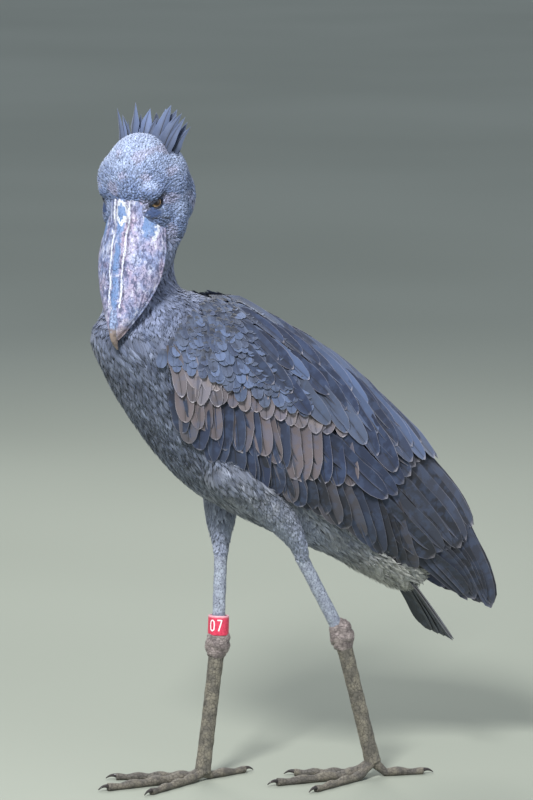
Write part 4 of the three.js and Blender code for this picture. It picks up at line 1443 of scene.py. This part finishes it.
# The crest's feathers: side at the root, side and height at the tip, and width.
CREST = (
    (-40, -64, -157, 11), (-35, -55, -146, 12), (-29, -34, -168, 20), (-21, -30, -154, 17),
    (-8, -9, -160, 22), (-2, 4, -146, 14), (12, 20, -163, 19), (20, 30, -168, 21), (27, 43, -153, 14),
    (32, 53, -153, 15), (37, 61, -147, 13),
)


@dataclass
class Crest:
    """The tuft of pointed feathers at the back of the crown, in two layers."""

    tufts: tuple[tuple[float, float, float, float], ...] = CREST
    layers: int = 2
    layer_gap: float = 13.0

    def build(self) -> Piece:
        """Return the crest's mesh."""
        rng = np.random.default_rng(71)
        sheet = QuillSheet("crest_feathers", rows=14, columns=6, thick=0.4)
        for i, (root_side, tip_side, tip, width) in enumerate(self.tufts * self.layers):
            layer = i // len(self.tufts)
            root = -94 + 0.012 * root_side ** 2
            top = tip + layer * rng.uniform(6, 16) + rng.uniform(-2, 2)
            sway = rng.uniform(-3, 3) * (1 + layer)

            def path(q: Array, layer: int = layer, root: float = root, top: float = top,
                     near: float = root_side, far: float = tip_side, sway: float = sway) -> Array:
                depth = 58 - 0.006 * near ** 2 + layer * self.layer_gap + 15 * q * q
                side = near + (far - near) * q ** 1.5 + sway * np.sin(np.pi * q) + layer * 4
                return head_point(root + (top - root) * q, depth, side)

            face = unit(CULMEN_OUT + HEAD_LEFT * (0.011 * root_side + rng.uniform(-0.4, 0.4)))

            def normal(q: Array, face: Array = face) -> Array:
                return np.repeat(face[None], len(q), 0)

            # Painted shade: the rear layer is 0.6 as bright, as shade behind the front layer.
            tint = rgb(90, 104, 136) * rng.uniform(0.5, 1.2) * (0.6 if layer else 1)
            sheet.quills.append(Quill(path, normal, width * rng.uniform(1.25, 1.45), (*tint, 0.6), tip=0.62,
                                      camber=0.18, blunt=1.0, taper=1.5, ragged=0.12, seed=i))
        finish = FeatherFinish("crest_plumage", srgb(156, 168, 196), rim_width=0.2, shaft=1.0, streak=0.3,
                               barbs=26.0, painted_sheen=0.1).make()
        return dress(sheet.build(), finish, "crown_feathers")


@dataclass
class Bill:
    """The great shoe-shaped bill: upper half with its hooked nail, and lower half.

    Places are measured from the forehead along the bill. The outer share is how much of the upper half's
    grid lies outside, the rest lining it. The nail's sections are place, depth, half width and half depth.
    """

    upper_start: float = -12.0
    outer_share: float = 0.76
    lower_start: float = -30.0
    lower_length: float = 230.0
    nail: tuple[tuple[float, float, float, float], ...] = (
        (160, 4, 5, 4), (176, 4.5, 7.4, 7), (194, 6.5, 6.4, 8.5), (206, 10.5, 4.9, 8), (214, 15.5, 3.3, 6),
        (222, 23.5, 1.2, 2.0))

    def upper_place(self, across: Array, along: Array) -> Array:
        """Wrap a grid round the upper bill: the outside, then back under the palate."""
        a = self.upper_start + (BILL[-1, 0] - self.upper_start) * along
        ridge, wide, lip = section(BILL, a)
        k = np.clip(-1 + 2 * across / self.outer_share, -1, 1)
        bend = np.abs(k) * np.pi / 2
        side = np.sign(k) * wide * np.sin(bend) ** 0.82
        depth = -ridge + (lip + ridge) * (1 - np.cos(bend)) ** 0.8
        fade = smoothstep(176, 120, a)
        keel_half = 5.5 + 2 * smoothstep(120, 0, a)
        off = np.abs(side)
        raised = 1.7 * bell(off, keel_half, 4)
        groove = 0.9 * bell(off - keel_half - 4, 2.4) * fade
        ribs = 0.7 * bell(off - 15 - 0.05 * a, 1.8) * fade
        seam = 0.5 * bell(off - 27 - 0.06 * a, 2.2) * fade
        nostril = 3.4 * bell(off - 13.5, 1.5) * bell(a - 33, 7)
        lipped = 1.1 * bell(np.abs(k) - 0.95, 0.04)
        place = head_point(a, depth, side)
        worn = 0.22 * ripple(place, 11, 31) + 0.3 * ripple(place, 34, 32)
        height = raised + ribs - seam - groove - nostril + worn
        sideways = HEAD_LEFT * np.sign(k)[:, None]
        outward = unit(CULMEN_OUT * np.cos(bend)[:, None] + sideways * np.sin(bend)[:, None])
        outer = place + outward * height[:, None] + sideways * lipped[:, None]
        back = np.clip((across - self.outer_share) / (1 - self.outer_share), 0, 1)
        lining = head_point(a, lip - 1.5 - 4 * np.sin(np.pi * back), wide * 0.965 * (1 - 2 * back))
        return np.where((across <= self.outer_share + 1e-9)[:, None], outer, lining)

    def lower_place(self, across: Array, along: Array) -> Array:
        """Wrap a grid round the lower bill."""
        a = self.lower_start + self.lower_length * along
        _, wide, lip = section(BILL, a)
        half = 0.93 * wide * np.clip((206 - a) / 20, 0, 1) ** 0.5
        deep = 29 * np.minimum(1, (206 - a) / 110)
        turn = 2 * np.pi * across
        low = np.sin(turn)
        depth = lip + np.where(low > 0, deep * np.abs(low) ** 0.8, -5.0 * np.abs(low))
        return head_point(a, depth, half * np.cos(turn))

    def hook_place(self, across: Array, along: Array) -> Array:
        """Wrap a grid round the hooked nail at the tip."""
        nail = np.array(self.nail)
        a = nail[0, 0] + (nail[-1, 0] - nail[0, 0]) * along
        depth, wide, deep = section(nail, a)
        turn = 2 * np.pi * across
        side, off = wide * np.cos(turn), deep * np.sin(turn)
        keel = 1.6 * bell(side, 2.6) * (off < 0) * smoothstep(1, 0.6, along)
        return head_point(a, depth + off - keel, side)

    def mark(self, piece: Piece) -> None:
        """Give the upper bill's points their markings: chalky ridges, blue strips and dark cracks."""
        p = to_model(read_rows(piece.data.vertices, "co", 3))
        a, depth, side = head_place(p)
        wobble = 1.6 * ripple(p, 30, 33) + 0.7 * ripple(p, 9, 34)
        s = np.abs(side) + wobble
        fade = smoothstep(190, 130, a)
        kite = (np.abs(side + wobble) / 8.5) ** 1.4 + (np.abs(a - 7 + 2 * wobble) / 12) ** 1.4
        kite = kite + 0.28 * ripple(p, 7, 36)
        patch = smoothstep(1.1, 0.7, kite)
        _, _, lip = section(BILL, a)
        chalk = np.maximum.reduce([
            bell(s - 13.5 + 0.028 * a, 1.7) * fade,
            0.8 * bell(s - 46, 1.8) * smoothstep(80, 40, a),
            0.6 * bell(s - 31, 1.2) * smoothstep(45, 15, a),
            smoothstep(2.3, 1.5, kite) * (1 - patch),
        ])
        blue = np.maximum.reduce([
            bell(s, 6.4, 4) * (0.8 + 0.3 * ripple(p, 24, 37)),
            patch,
            0.8 * bell(s - 39, 7, 4) * smoothstep(62, 28, a + 2 * wobble),
        ])
        crack = np.maximum.reduce([
            bell(s - 17.2 + 0.03 * a, 1.4) * fade * (0.75 + 0.4 * ripple(p, 20, 35)),
            bell(s - 9.2 + 0.02 * a, 1.0) * fade * (0.6 + 0.5 * ripple(p, 15, 38)),
            bell(np.abs(side) - 13.5, 1.3) * bell(a - 33, 8),
            0.8 * bell(depth - lip + 7, 1.1),
        ])
        horn = smoothstep(172, 204, a + wobble * 3)
        add_colour(piece, "Mark", np.clip(np.column_stack([chalk, blue, crack, horn]), 0, 1))

    def material(self) -> Material:
        """Return the marked horn of the bill."""
        material, n, shader = new_material("bill_keratin")
        mark = n.add("Attribute", attribute_name="Mark")
        parts = n.add("SeparateColor", {0: mark.outputs["Color"]})
        where = n.add("TexCoord").outputs["Object"]
        stretch = n.add("Mapping", {"Vector": where, "Scale": (1.0, 1.0, 0.68)}).outputs[0]
        broad = n.noise(26.0, 4.0, where)
        fine = n.noise(150.0, 5.0, stretch, 0.65)
        speck = n.noise(520.0, 3.0, stretch, 0.6)
        other = n.noise(44.0, 5.0, stretch, 0.6)
        chalk, blue, crack = parts.outputs
        uneven = n.math("SUBTRACT", fine, 0.5)
        cell = n.add("TexVoronoi", {"Vector": stretch, "Scale": 62.0}, feature="DISTANCE_TO_EDGE")
        line = n.scaled(n.span(cell.outputs["Distance"], 0.05, 0.0), n.span(other, 0.44, 0.56))
        blued = n.math("ADD", blue, n.scaled(uneven, 0.9))
        ragged = n.math("ADD", chalk, n.scaled(uneven, 1.1))
        torn = n.scaled(crack, n.span(fine, 0.3, 0.55))
        colour = n.mix(n.span(broad, 0.4, 0.6), srgb(138, 150, 190), srgb(170, 162, 190))
        for mask, share, tone in (
                (n.span(other, 0.52, 0.66), 0.6, srgb(178, 154, 176)),
                (n.span(other, 0.47, 0.36), 0.6, srgb(190, 197, 218)),
                (n.span(fine, 0.49, 0.6), 0.85, srgb(86, 92, 122)),
                (n.span(fine, 0.46, 0.36), 0.6, srgb(222, 222, 232)),
                (n.span(blued, 0.2, 0.75), 0.85, srgb(106, 138, 186)),
                (line, 0.4, srgb(70, 72, 98)),
                (n.span(ragged, 0.42, 0.62), 0.85, srgb(222, 226, 234)),
                (torn, 0.9, srgb(44, 44, 62)),
                (n.span(speck, 0.53, 0.64), 0.7, srgb(60, 64, 90)),
                (mark.outputs["Alpha"], 0.7, srgb(136, 116, 106))):
            colour = n.mix(n.scaled(mask, share), colour, tone)
        height = n.math("ADD", n.scaled(fine, 1.2), n.scaled(speck, -0.6))
        height = n.math("SUBTRACT", height, n.scaled(line, 0.8))
        n.feed(shader, {"Base Color": colour, "Roughness": 0.42, "Specular IOR Level": 0.45,
                        "Normal": bump(n, height, 0.8, 0.9)})
        return material

    def nail_material(self) -> Material:
        """Return the nail's horn, bluish at its root and tan at its tip."""
        material, n, shader = new_material("hook_horn")
        v = n.add("SeparateXYZ", {0: n.add("UVMap", uv_map="Wrap").outputs[0]}).outputs[1]
        grain = n.noise(260.0, 4.0)
        broad = n.noise(90.0, 3.0)
        root = n.mix(n.span(grain, 0.4, 0.6), srgb(150, 168, 202), srgb(96, 104, 134))
        tip = n.mix(n.span(broad, 0.4, 0.6), srgb(144, 128, 120), srgb(106, 94, 90))
        turned = n.math("ADD", v, n.math("MULTIPLY_ADD", grain, 0.3, -0.15))
        colour = n.mix(n.span(turned, 0.42, 0.62), root, tip)
        n.feed(shader, {"Base Color": colour, "Roughness": 0.35, "Normal": bump(n, grain, 0.6, 0.4)})
        return material

    def build(self) -> None:
        """Make both halves and the nail."""
        upper = shaped_grid("upper_bill", 150, 130, self.upper_place)
        self.mark(upper)
        dress(upper, self.material(), "bill_horn", "bill_upper")
        hook = shaped_grid("bill_hook", 40, 36, self.hook_place)
        dress(hook, self.nail_material(), "bill_horn")
        lower = shaped_grid("lower_bill", 64, 60, self.lower_place)
        jaw = MottledFinish("jaw_horn", srgb(142, 142, 166), srgb(112, 110, 132), srgb(60, 58, 76),
                            patches=50, specks=380, shine=0.1, depth=0.5).make()
        dress(lower, jaw, "bill_horn", "bill_lower")


@dataclass
class Eye:
    """One eye with its lids."""

    hand: int
    radius: float = EYE_RADIUS
    axes: EyeFrame = field(init=False)

    def __post_init__(self) -> None:
        """Work out the eye's directions."""
        self.axes = EyeFrame(self.hand)

    def ball_place(self, across: Array, along: Array) -> Array:
        """Wrap a grid round the eyeball from the pupil back, with a bulging cornea."""
        angle = np.pi * along ** 1.4
        turn = 2 * np.pi * across
        e = self.axes
        way = (np.cos(angle)[:, None] * e.gaze + (np.sin(angle) * np.cos(turn))[:, None] * e.slit
               + (np.sin(angle) * np.sin(turn))[:, None] * e.up)
        radius = self.radius - 0.4 + 0.8 * smoothstep(0.75, 0.3, angle)
        return e.centre + way * radius[:, None]

    def lid_place(self, low: float, high: float, lift: float) -> Placing:
        """Return the placing of one lid, a shell over the ball.

        Args:
            low: the angle of its edge above the slit, in radians.
            high: the angle where it ends.
            lift: how far it stands off the ball.

        Returns:
            A function for shaped_grid.
        """
        e = self.axes

        def place(across: Array, along: Array) -> Array:
            q = -1 + 2 * along
            shell = across * 2
            outer = shell <= 1
            v = np.where(outer, shell, 2 - shell)
            arch = np.clip(1 - q ** 2, 0, 1) ** 0.6
            edge = low * arch - 0.04 * (1 - arch)
            height = edge + (high - edge) * v
            lon = q * 1.12
            way = (np.cos(height) * np.cos(lon))[:, None] * e.gaze
            way = way + (np.cos(height) * np.sin(lon))[:, None] * e.slit + np.sin(height)[:, None] * e.up
            rim = 0.7 * bell(v, 0.13) * outer
            radius = np.where(outer, self.radius + lift + rim, self.radius + 0.1)
            return e.centre + unit(way) * radius[:, None]

        return place

    def ball_material(self) -> Material:
        """Return the eye's finish: dark pupil, golden iris and a wet surface."""
        material, n, shader = new_material(f"eye_{self.hand}")
        v = n.add("SeparateXYZ", {0: n.add("UVMap", uv_map="Wrap").outputs[0]}).outputs[1]
        angle = n.math("POWER", v, 1.4)
        streak = n.noise(700.0, 3.0)
        ring = n.mix(n.span(streak, 0.35, 0.65), srgb(168, 144, 112), srgb(118, 92, 62))
        colour = n.mix(n.span(angle, 0.112, 0.128), srgb(26, 14, 8), srgb(92, 58, 26))
        colour = n.mix(n.span(angle, 0.138, 0.152), colour, ring)
        colour = n.mix(n.span(angle, 0.192, 0.206), colour, srgb(14, 11, 12))
        n.feed(shader, {"Base Color": colour, "Roughness": 0.3, "Specular IOR Level": 0.3, "Coat Weight": 0.4,
                        "Coat Roughness": 0.04})
        return material

    def build(self, lid: Material) -> None:
        """Make the ball and both lids."""
        side = side_name(self.hand)
        ball = shaped_grid(f"eyeball_{side}", 48, 48, self.ball_place)
        dress(ball, self.ball_material(), "eye", f"eye_{side}")
        for name, low, high, lift in (("upper", 0.06, 1.25, 1.9), ("lower", -0.62, -1.35, 0.9)):
            shell = shaped_grid(f"{name}_lid_{side}", 16, 32, self.lid_place(low, high, lift))
            dress(shell, lid, "crown_feathers")


@dataclass
class LegParts:
    """The bare parts of one leg.

    Half sizes are across the leg and fore and aft. A toe is its angle outwards from straight ahead, its
    length and its radius at the root.
    """

    leg: Leg
    finishes: dict[str, Material]
    shank_size: tuple[float, float] = (9.0, 10.5)
    ankle_size: tuple[float, float, float] = (15.0, 20.5, 30.0)
    tarsus_size: tuple[float, float] = (9.5, 12.5)
    toes: tuple[tuple[str, float, float, float], ...] = (
        ("hind", 168, 84, 7.5), ("inner", -27, 128, 7.5), ("middle", -2, 168, 8.5), ("outer", 24, 140, 7.5))
    claw_length: float = 21.0
    claw_radius: float = 4.3

    def bar(self, start: Array, end: Array, size: tuple[float, float], seed: int,
            swell: float) -> Placing:
        """Return the placing of a straight limb bone with soft folds.

        Args:
            start: the middle of one end.
            end: the middle of the other.
            size: half sizes, across and fore and aft.
            seed: the random draw's seed.
            swell: how much thicker the ends are, as a share.

        Returns:
            A function for shaped_grid.
        """
        way = unit(end - start)
        flat = unit(np.array([1.0, 0, 0]) - way * way[0])
        front = np.cross(way, flat)

        def place(across: Array, along: Array) -> Array:
            turn = 2 * np.pi * across
            girth = 1 + swell * ((2 * along - 1) ** 4)
            middle = start + (end - start) * along[:, None]
            out = (flat * (size[0] * girth * np.cos(turn))[:, None]
                   + front * (size[1] * girth * np.sin(turn))[:, None])
            p = middle + out
            return p + unit(out) * (0.35 * ripple(p, 13, seed))[:, None]

        return place

    def ankle_place(self, across: Array, along: Array) -> Array:
        """Wrap a grid round the ankle joint, with wrinkled, sagging folds of skin."""
        leg = self.leg
        side, fore, tall = self.ankle_size
        down = unit(leg.foot - leg.ankle)
        flat = np.array([1.0, 0, 0])
        front = unit(np.cross(down, flat))
        angle = np.pi * along
        turn = 2 * np.pi * across
        p = (leg.ankle + down * (-tall * np.cos(angle))[:, None]
             + flat * (side * np.sin(angle) * np.cos(turn))[:, None]
             + front * (fore * np.sin(angle) * np.sin(turn))[:, None])
        out = unit(p - leg.ankle)
        fold = np.sin(8.5 * along * np.pi + 1.2 * np.sin(turn * 2) + 1.5 * ripple(p, 24, 80))
        depth = (0.9 * fold + 0.6 * ripple(p, 9, 81)) * np.sin(angle)
        return p + out * depth[:, None]

    def toe_rows(self, angle: float, length: float, radius: float,
                 waves: int) -> tuple[Array, Array]:
        """Return sections of a toe and of its claw.

        Args:
            angle: the way it points, in degrees outwards from straight ahead.
            length: the toe's length without its claw.
            radius: the toe's radius at its root.
            waves: how often its pads swell.

        Returns:
            Rows for tube_place of the toe, and of the claw.
        """
        turn = math.radians(angle)
        away = np.array([self.leg.hand * math.sin(turn), -math.cos(turn)])
        start = self.leg.foot
        rows = []
        for k in np.linspace(0, 1, 25):
            r = radius * (1.05 - 0.37 * k) * (1 + 0.12 * math.cos(k * math.pi * waves))
            z = max(r * 1.01, start[2] * (1 - min(1, k * 3.2)) + r * 0.2)
            rows.append([*(start[:2] + away * k * length), z, r, r])
        end = np.array(rows[-1][:3])
        claw = []
        for k in np.linspace(0, 1, 9):
            r = self.claw_radius * (1 - k) + 0.7 * k
            z = max(r * 1.01, end[2] + 3.5 * math.sin(k * math.pi * 0.8) - 5 * k * k)
            claw.append([*(end[:2] + away * (k * self.claw_length - 4)), z, r, r])
        return np.array(rows), np.array(claw)

    def build(self) -> None:
        """Make the shank, ankle, tarsus, toes and claws."""
        leg, side = self.leg, self.leg.side
        above = leg.knee - unit(leg.ankle - leg.knee) * 6
        shank = self.bar(above, leg.ankle, self.shank_size, 82, 0.06)
        tarsus = self.bar(leg.ankle, leg.foot, self.tarsus_size, 83, 0.12)
        for name, columns, rows, place in (("shank", 36, 60, shank), ("ankle", 56, 56, self.ankle_place),
                                           ("tarsus", 36, 90, tarsus)):
            piece = shaped_grid(f"{side}_{name}", columns, rows, place)
            dress(piece, self.finishes[name], f"{name}_skin", f"{name}_{side}")
        for name, angle, length, radius in self.toes:
            turn = math.radians(angle)
            across = (math.cos(turn), leg.hand * math.sin(turn), 0.0)
            rows, claw = self.toe_rows(angle, length, radius, 4 if name == "hind" else 8)
            toe = shaped_grid(f"{side}_{name}_toe", 24, 60, tube_place(rows, across))
            dress(toe, self.finishes["toe"], "tarsus_skin", f"toe_{name}_{side}")
            nail = shaped_grid(f"{side}_{name}_claw", 16, 16, tube_place(claw, across))
            dress(nail, self.finishes["claw"], "claw_horn", f"claw_{name}_{side}")


class Digit(Enum):
    """Strokes of the band's digits, on a grid one wide and two tall."""

    ZERO = ((0.5, 2.0), (0.1, 1.75), (0.0, 1.0), (0.1, 0.25), (0.5, 0.0), (0.9, 0.25), (1.0, 1.0),
            (0.9, 1.75), (0.5, 2.0))
    SEVEN = ((0.0, 2.0), (1.0, 2.0), (0.35, 0.0))


@dataclass
class LegBand:
    """The plastic ring on the right leg, with two plain digits."""

    leg: Leg
    inner: float = 14.8
    outer: float = 17.0
    tall: float = 32.0
    digit_size: tuple[float, float] = (7.4, 8.8)
    stroke: float = 2.3
    axis: Array = field(init=False)
    base: Array = field(init=False)
    front: Array = field(init=False)
    left: Array = field(init=False)

    def __post_init__(self) -> None:
        """Work out the ring's axis and the way its number faces."""
        self.axis = unit(self.leg.knee - self.leg.ankle)
        self.base = self.leg.ankle + self.axis * 13.5
        face = np.array([0.80, -0.60, 0.0])
        self.front = unit(face - self.axis * (face @ self.axis))
        self.left = np.cross(self.axis, self.front)

    def wrap(self, turn: Array, height: Array, radius: Array) -> Array:
        """Return points round the ring."""
        way = self.front * np.cos(turn)[..., None] + self.left * np.sin(turn)[..., None]
        return self.base + self.axis * height[..., None] + way * radius[..., None]

    def ring_place(self, across: Array, along: Array) -> Array:
        """Wrap a grid round the ring's rounded profile."""
        bend = 2 * np.pi * across
        mid, half = (self.inner + self.outer) / 2, (self.outer - self.inner) / 2
        out = np.sign(np.cos(bend)) * np.abs(np.cos(bend)) ** 0.35
        rise = np.sign(np.sin(bend)) * np.abs(np.sin(bend)) ** 0.3
        return self.wrap(2 * np.pi * along, self.tall / 2 * (1 + rise * 0.995), mid + half * out)

    def digit(self, name: str, digit: Digit, offset: float, material: Material) -> None:
        """Make one digit as thin strokes wrapped on the ring.

        Args:
            name: the piece's name.
            digit: its strokes.
            offset: where its left edge stands, round the ring, in millimetres.
            material: the ink.
        """
        path = np.array(digit.value)
        steps = np.arange(60)
        where = np.linspace(0, len(path) - 1, len(steps))
        wide, tall = self.digit_size
        x = np.interp(where, np.arange(len(path)), path[:, 0]) * wide
        y = np.interp(where, np.arange(len(path)), path[:, 1]) * tall

        def place(across: Array, along: Array) -> Array:
            i = along * steps[-1]
            way = unit(np.stack([np.interp(i, steps, np.gradient(c)) for c in (x, y)], -1))
            bend = 2 * np.pi * across
            off = self.stroke / 2 * np.sign(np.cos(bend)) * np.abs(np.cos(bend)) ** 0.4
            reach = offset + np.interp(i, steps, x) - way[:, 1] * off
            height = 7.2 + np.interp(i, steps, y) + way[:, 0] * off
            return self.wrap(reach / self.outer, height, self.outer + 0.1 + 0.16 * np.sin(bend))

        piece = shaped_grid(name, 10, 60, place)
        dress(piece, material, "band_plastic")

    def plastic(self) -> Material:
        """Return the ring's worn, pink-red plastic, paler towards its top edge."""
        material, n, shader = new_material("band_red")
        where = n.add("TexCoord").outputs["Object"]
        top = tuple(to_metres(self.base + self.axis * self.tall))
        from_top = n.add("VectorMath", {0: where, 1: top}, operation="SUBTRACT").outputs[0]
        height = n.add("VectorMath", {0: from_top, 1: tuple(self.axis)}, operation="DOT_PRODUCT")
        worn = n.noise(240.0, 4.0, where)
        rough_edge = n.math("ADD", height.outputs["Value"], n.scaled(worn, 0.004))
        # Paler within a few millimetres of the top edge, its edge ragged.
        paler_top = n.scaled(n.span(rough_edge, -0.0030, 0.0010), 0.8)
        colour = n.mix(n.span(worn, 0.4, 0.7), srgb(222, 62, 92), srgb(196, 44, 74))
        n.feed(shader, {"Base Color": n.mix(paler_top, colour, srgb(240, 190, 200)), "Roughness": 0.38,
                        "Coat Weight": 0.2, "Normal": bump(n, worn, 0.3, 0.2)})
        return material

    def build(self) -> None:
        """Make the ring and its number."""
        ring = shaped_grid("band_ring", 40, 64, self.ring_place)
        dress(ring, self.plastic(), "band_plastic", "leg_band")
        white = MottledFinish("band_ink", srgb(246, 240, 240), srgb(236, 226, 228), srgb(210, 180, 188),
                              speck_amount=0.3, depth=0.1).make()
        self.digit("band_digit_0", Digit.ZERO, -10.2, white)
        self.digit("band_digit_7", Digit.SEVEN, 1.8, white)


@dataclass
class Studio:
    """Camera, lights and floor, set as the photo's. The camera is a little above, to the left front."""

    target: tuple[float, float, float] = (0.0, -0.052, 0.625)
    way: tuple[float, float, float] = (0.9023, -0.4017, 0.1564)
    distance: float = 7.0
    lens: float = 196.9

    def light(self, name: str, place: tuple, target: tuple, size: float, power: float,
              colour: tuple = (1.0, 1.0, 1.0)) -> None:
        """Add a square area light that faces a target.

        Args:
            name: the light's name.
            place: where it stands, in metres.
            target: the point it faces.
            size: its side, in metres.
            power: its power, in watts.
            colour: its colour.
        """
        turn = (Vector(place) - Vector(target)).to_track_quat("Z", "Y").to_euler()
        bpy.ops.object.select_all(action="DESELECT")
        bpy.ops.object.light_add(type="AREA", location=place, rotation=turn)
        lamp = bpy.context.object
        lamp.name = name
        lamp.data.size = size
        lamp.data.energy = power
        lamp.data.color = colour

    def camera(self) -> None:
        """Add the camera."""
        way = Vector(self.way).normalized()
        turn = way.to_track_quat("Z", "Y").to_euler()
        bpy.ops.object.select_all(action="DESELECT")
        bpy.ops.object.camera_add(location=Vector(self.target) + way * self.distance, rotation=turn)
        camera = bpy.context.object
        camera.data.lens = self.lens
        camera.data.sensor_width = 36
        camera.data.clip_end = 60
        bpy.context.scene.camera = camera

    def floor(self) -> Piece:
        """Return the plain ground it stands on."""
        bpy.ops.object.select_all(action="DESELECT")
        bpy.ops.mesh.primitive_plane_add(size=90)
        ground = bpy.context.object
        ground.name = "floor"
        material, n, shader = new_material("ground")
        colour = n.mix(n.span(n.noise(0.4, 2.0), 0.3, 0.7), srgb(150, 155, 142), srgb(158, 163, 150))
        n.feed(shader, {"Base Color": colour, "Roughness": 0.9})
        ground.data.materials.append(material)
        return ground

    def build(self) -> None:
        """Set the camera, lights, sky and floor."""
        self.camera()
        self.light("key", (2.6, -2.4, 3.8), (0, -0.1, 0.6), 0.9, 290)
        self.light("fill", (3.4, 2.8, 1.6), (0, -0.1, 0.6), 3.0, 40, (0.94, 0.97, 1.0))
        self.light("rim", (-2.6, 0.6, 3.0), (0, 0, 0.7), 2.0, 60, (1.0, 0.98, 0.94))
        world = bpy.data.worlds.new("sky")
        world.use_nodes = True
        light = world.node_tree.nodes["Background"]
        Links(world.node_tree).feed(light, {"Color": (0.78, 0.86, 1.0, 1.0), "Strength": 0.52})
        bpy.context.scene.world = world
        bpy.context.scene.view_settings.view_transform = "Standard"
        self.floor()


def leg_finishes() -> dict[str, Material]:
    """Return the finishes of the bare legs."""
    return {
        "shank": MottledFinish("shank_skin", srgb(168, 176, 190), srgb(146, 152, 168), srgb(54, 54, 66),
                               patches=90, specks=360, speck_amount=0.8, cells=190,
                               cell_stretch=(1.0, 1.0, 0.8), groove=0.35, depth=0.5).make(),
        "ankle": MottledFinish("ankle_skin", srgb(164, 152, 148), srgb(126, 116, 114), srgb(60, 52, 52),
                               patches=70, specks=300, cells=150, cell_stretch=(1.0, 1.0, 1.8),
                               groove=0.5, depth=0.7).make(),
        "tarsus": MottledFinish("tarsus_skin", srgb(136, 130, 116), srgb(106, 102, 94), srgb(48, 44, 42),
                                patches=60, specks=300, cells=165, groove=0.55, depth=0.6).make(),
        "toe": MottledFinish("toe_skin", srgb(122, 116, 104), srgb(96, 92, 86), srgb(46, 42, 40),
                             patches=60, specks=300, cells=170, groove=0.55, depth=0.6).make(),
        "claw": MottledFinish("claw_horn", srgb(62, 56, 54), srgb(40, 36, 36), srgb(24, 22, 22),
                              patches=120, specks=500, shine=0.3, depth=0.2).make(),
    }


def skin_material() -> Material:
    """Return the skin under the coat, in the coat's own tones, its darkness a painted shade seen between the
    feathers.
    """
    material, n, shader = new_material("under_skin")
    tint = n.add("Attribute", attribute_name="Tint")
    grain = n.noise(420.0, 4.0)
    shade = n.span(grain, 0.3, 0.7, 0.55, 1.1)
    grey = n.add("CombineColor", {0: shade, 1: shade, 2: shade}).outputs[0]
    colour = n.mix(1.0, tint.outputs["Color"], grey, "MULTIPLY")
    n.feed(shader, {"Base Color": colour, "Roughness": 0.75, "Normal": bump(n, grain, 0.8, 0.8)})
    return material


def tint_skin(skin: Piece) -> None:
    """Colour the skin as the coat over it, darker as painted shade between the feathers, and bare blue about
    the eyes.
    """
    mesh = skin.data
    points = to_model(read_rows(mesh.vertices, "co", 3))
    regions = Regions(points, read_rows(mesh.vertex_normals, "vector", 3))
    # Painted shade: the coat's colour at 0.62, so the gaps between feathers read as shadow.
    colour = blend(regions.colour() * 0.62, rgb(62, 81, 122), regions.eye_zone())
    add_colour(skin, "Tint", np.column_stack([colour, np.ones(len(colour))]))


def main() -> None:
    """Build the bird, then its setting."""
    logging.basicConfig(level=logging.INFO)
    skin_maker = Skin()
    skin = skin_maker.build(LEGS)
    tint_skin(skin)
    dress(skin, skin_material(), "body_feathers", "torso", "head", "thigh_left", "thigh_right")
    Coat(skin_maker).build()
    quills = FeatherFinish("wing_plumage", srgb(206, 200, 208), rim_width=0.18, rim_amount=0.85, shaft=0.7,
                           barbs=30.0, painted_sheen=0.2, sheen_tint=srgb(84, 104, 142), depth=0.3).make()
    Wing(1, quills).build()
    Wing(-1, quills).build()
    rectrices = FeatherFinish("tail_plumage", srgb(70, 76, 88), rim_width=0.08, rim_amount=0.4, shaft=0.5,
                              streak=0.05, barbs=34.0, painted_sheen=0.15).make()
    Tail(rectrices).build()
    Crest().build()
    Bill().build()
    # The lids' own skin, painted dark, near black in the specks, as painted shade of the lids about the eye.
    lid = MottledFinish("lid_skin", srgb(62, 68, 88), srgb(36, 40, 54), srgb(16, 17, 24), patches=200,
                        specks=900, cells=900, groove=0.3, depth=0.15).make()
    Eye(1).build(lid)
    Eye(-1).build(lid)
    finishes = leg_finishes()
    for leg in LEGS:
        LegParts(leg, finishes).build()
    LegBand(LEGS[1]).build()
    Studio().build()


if __name__ == "__main__":
    main()
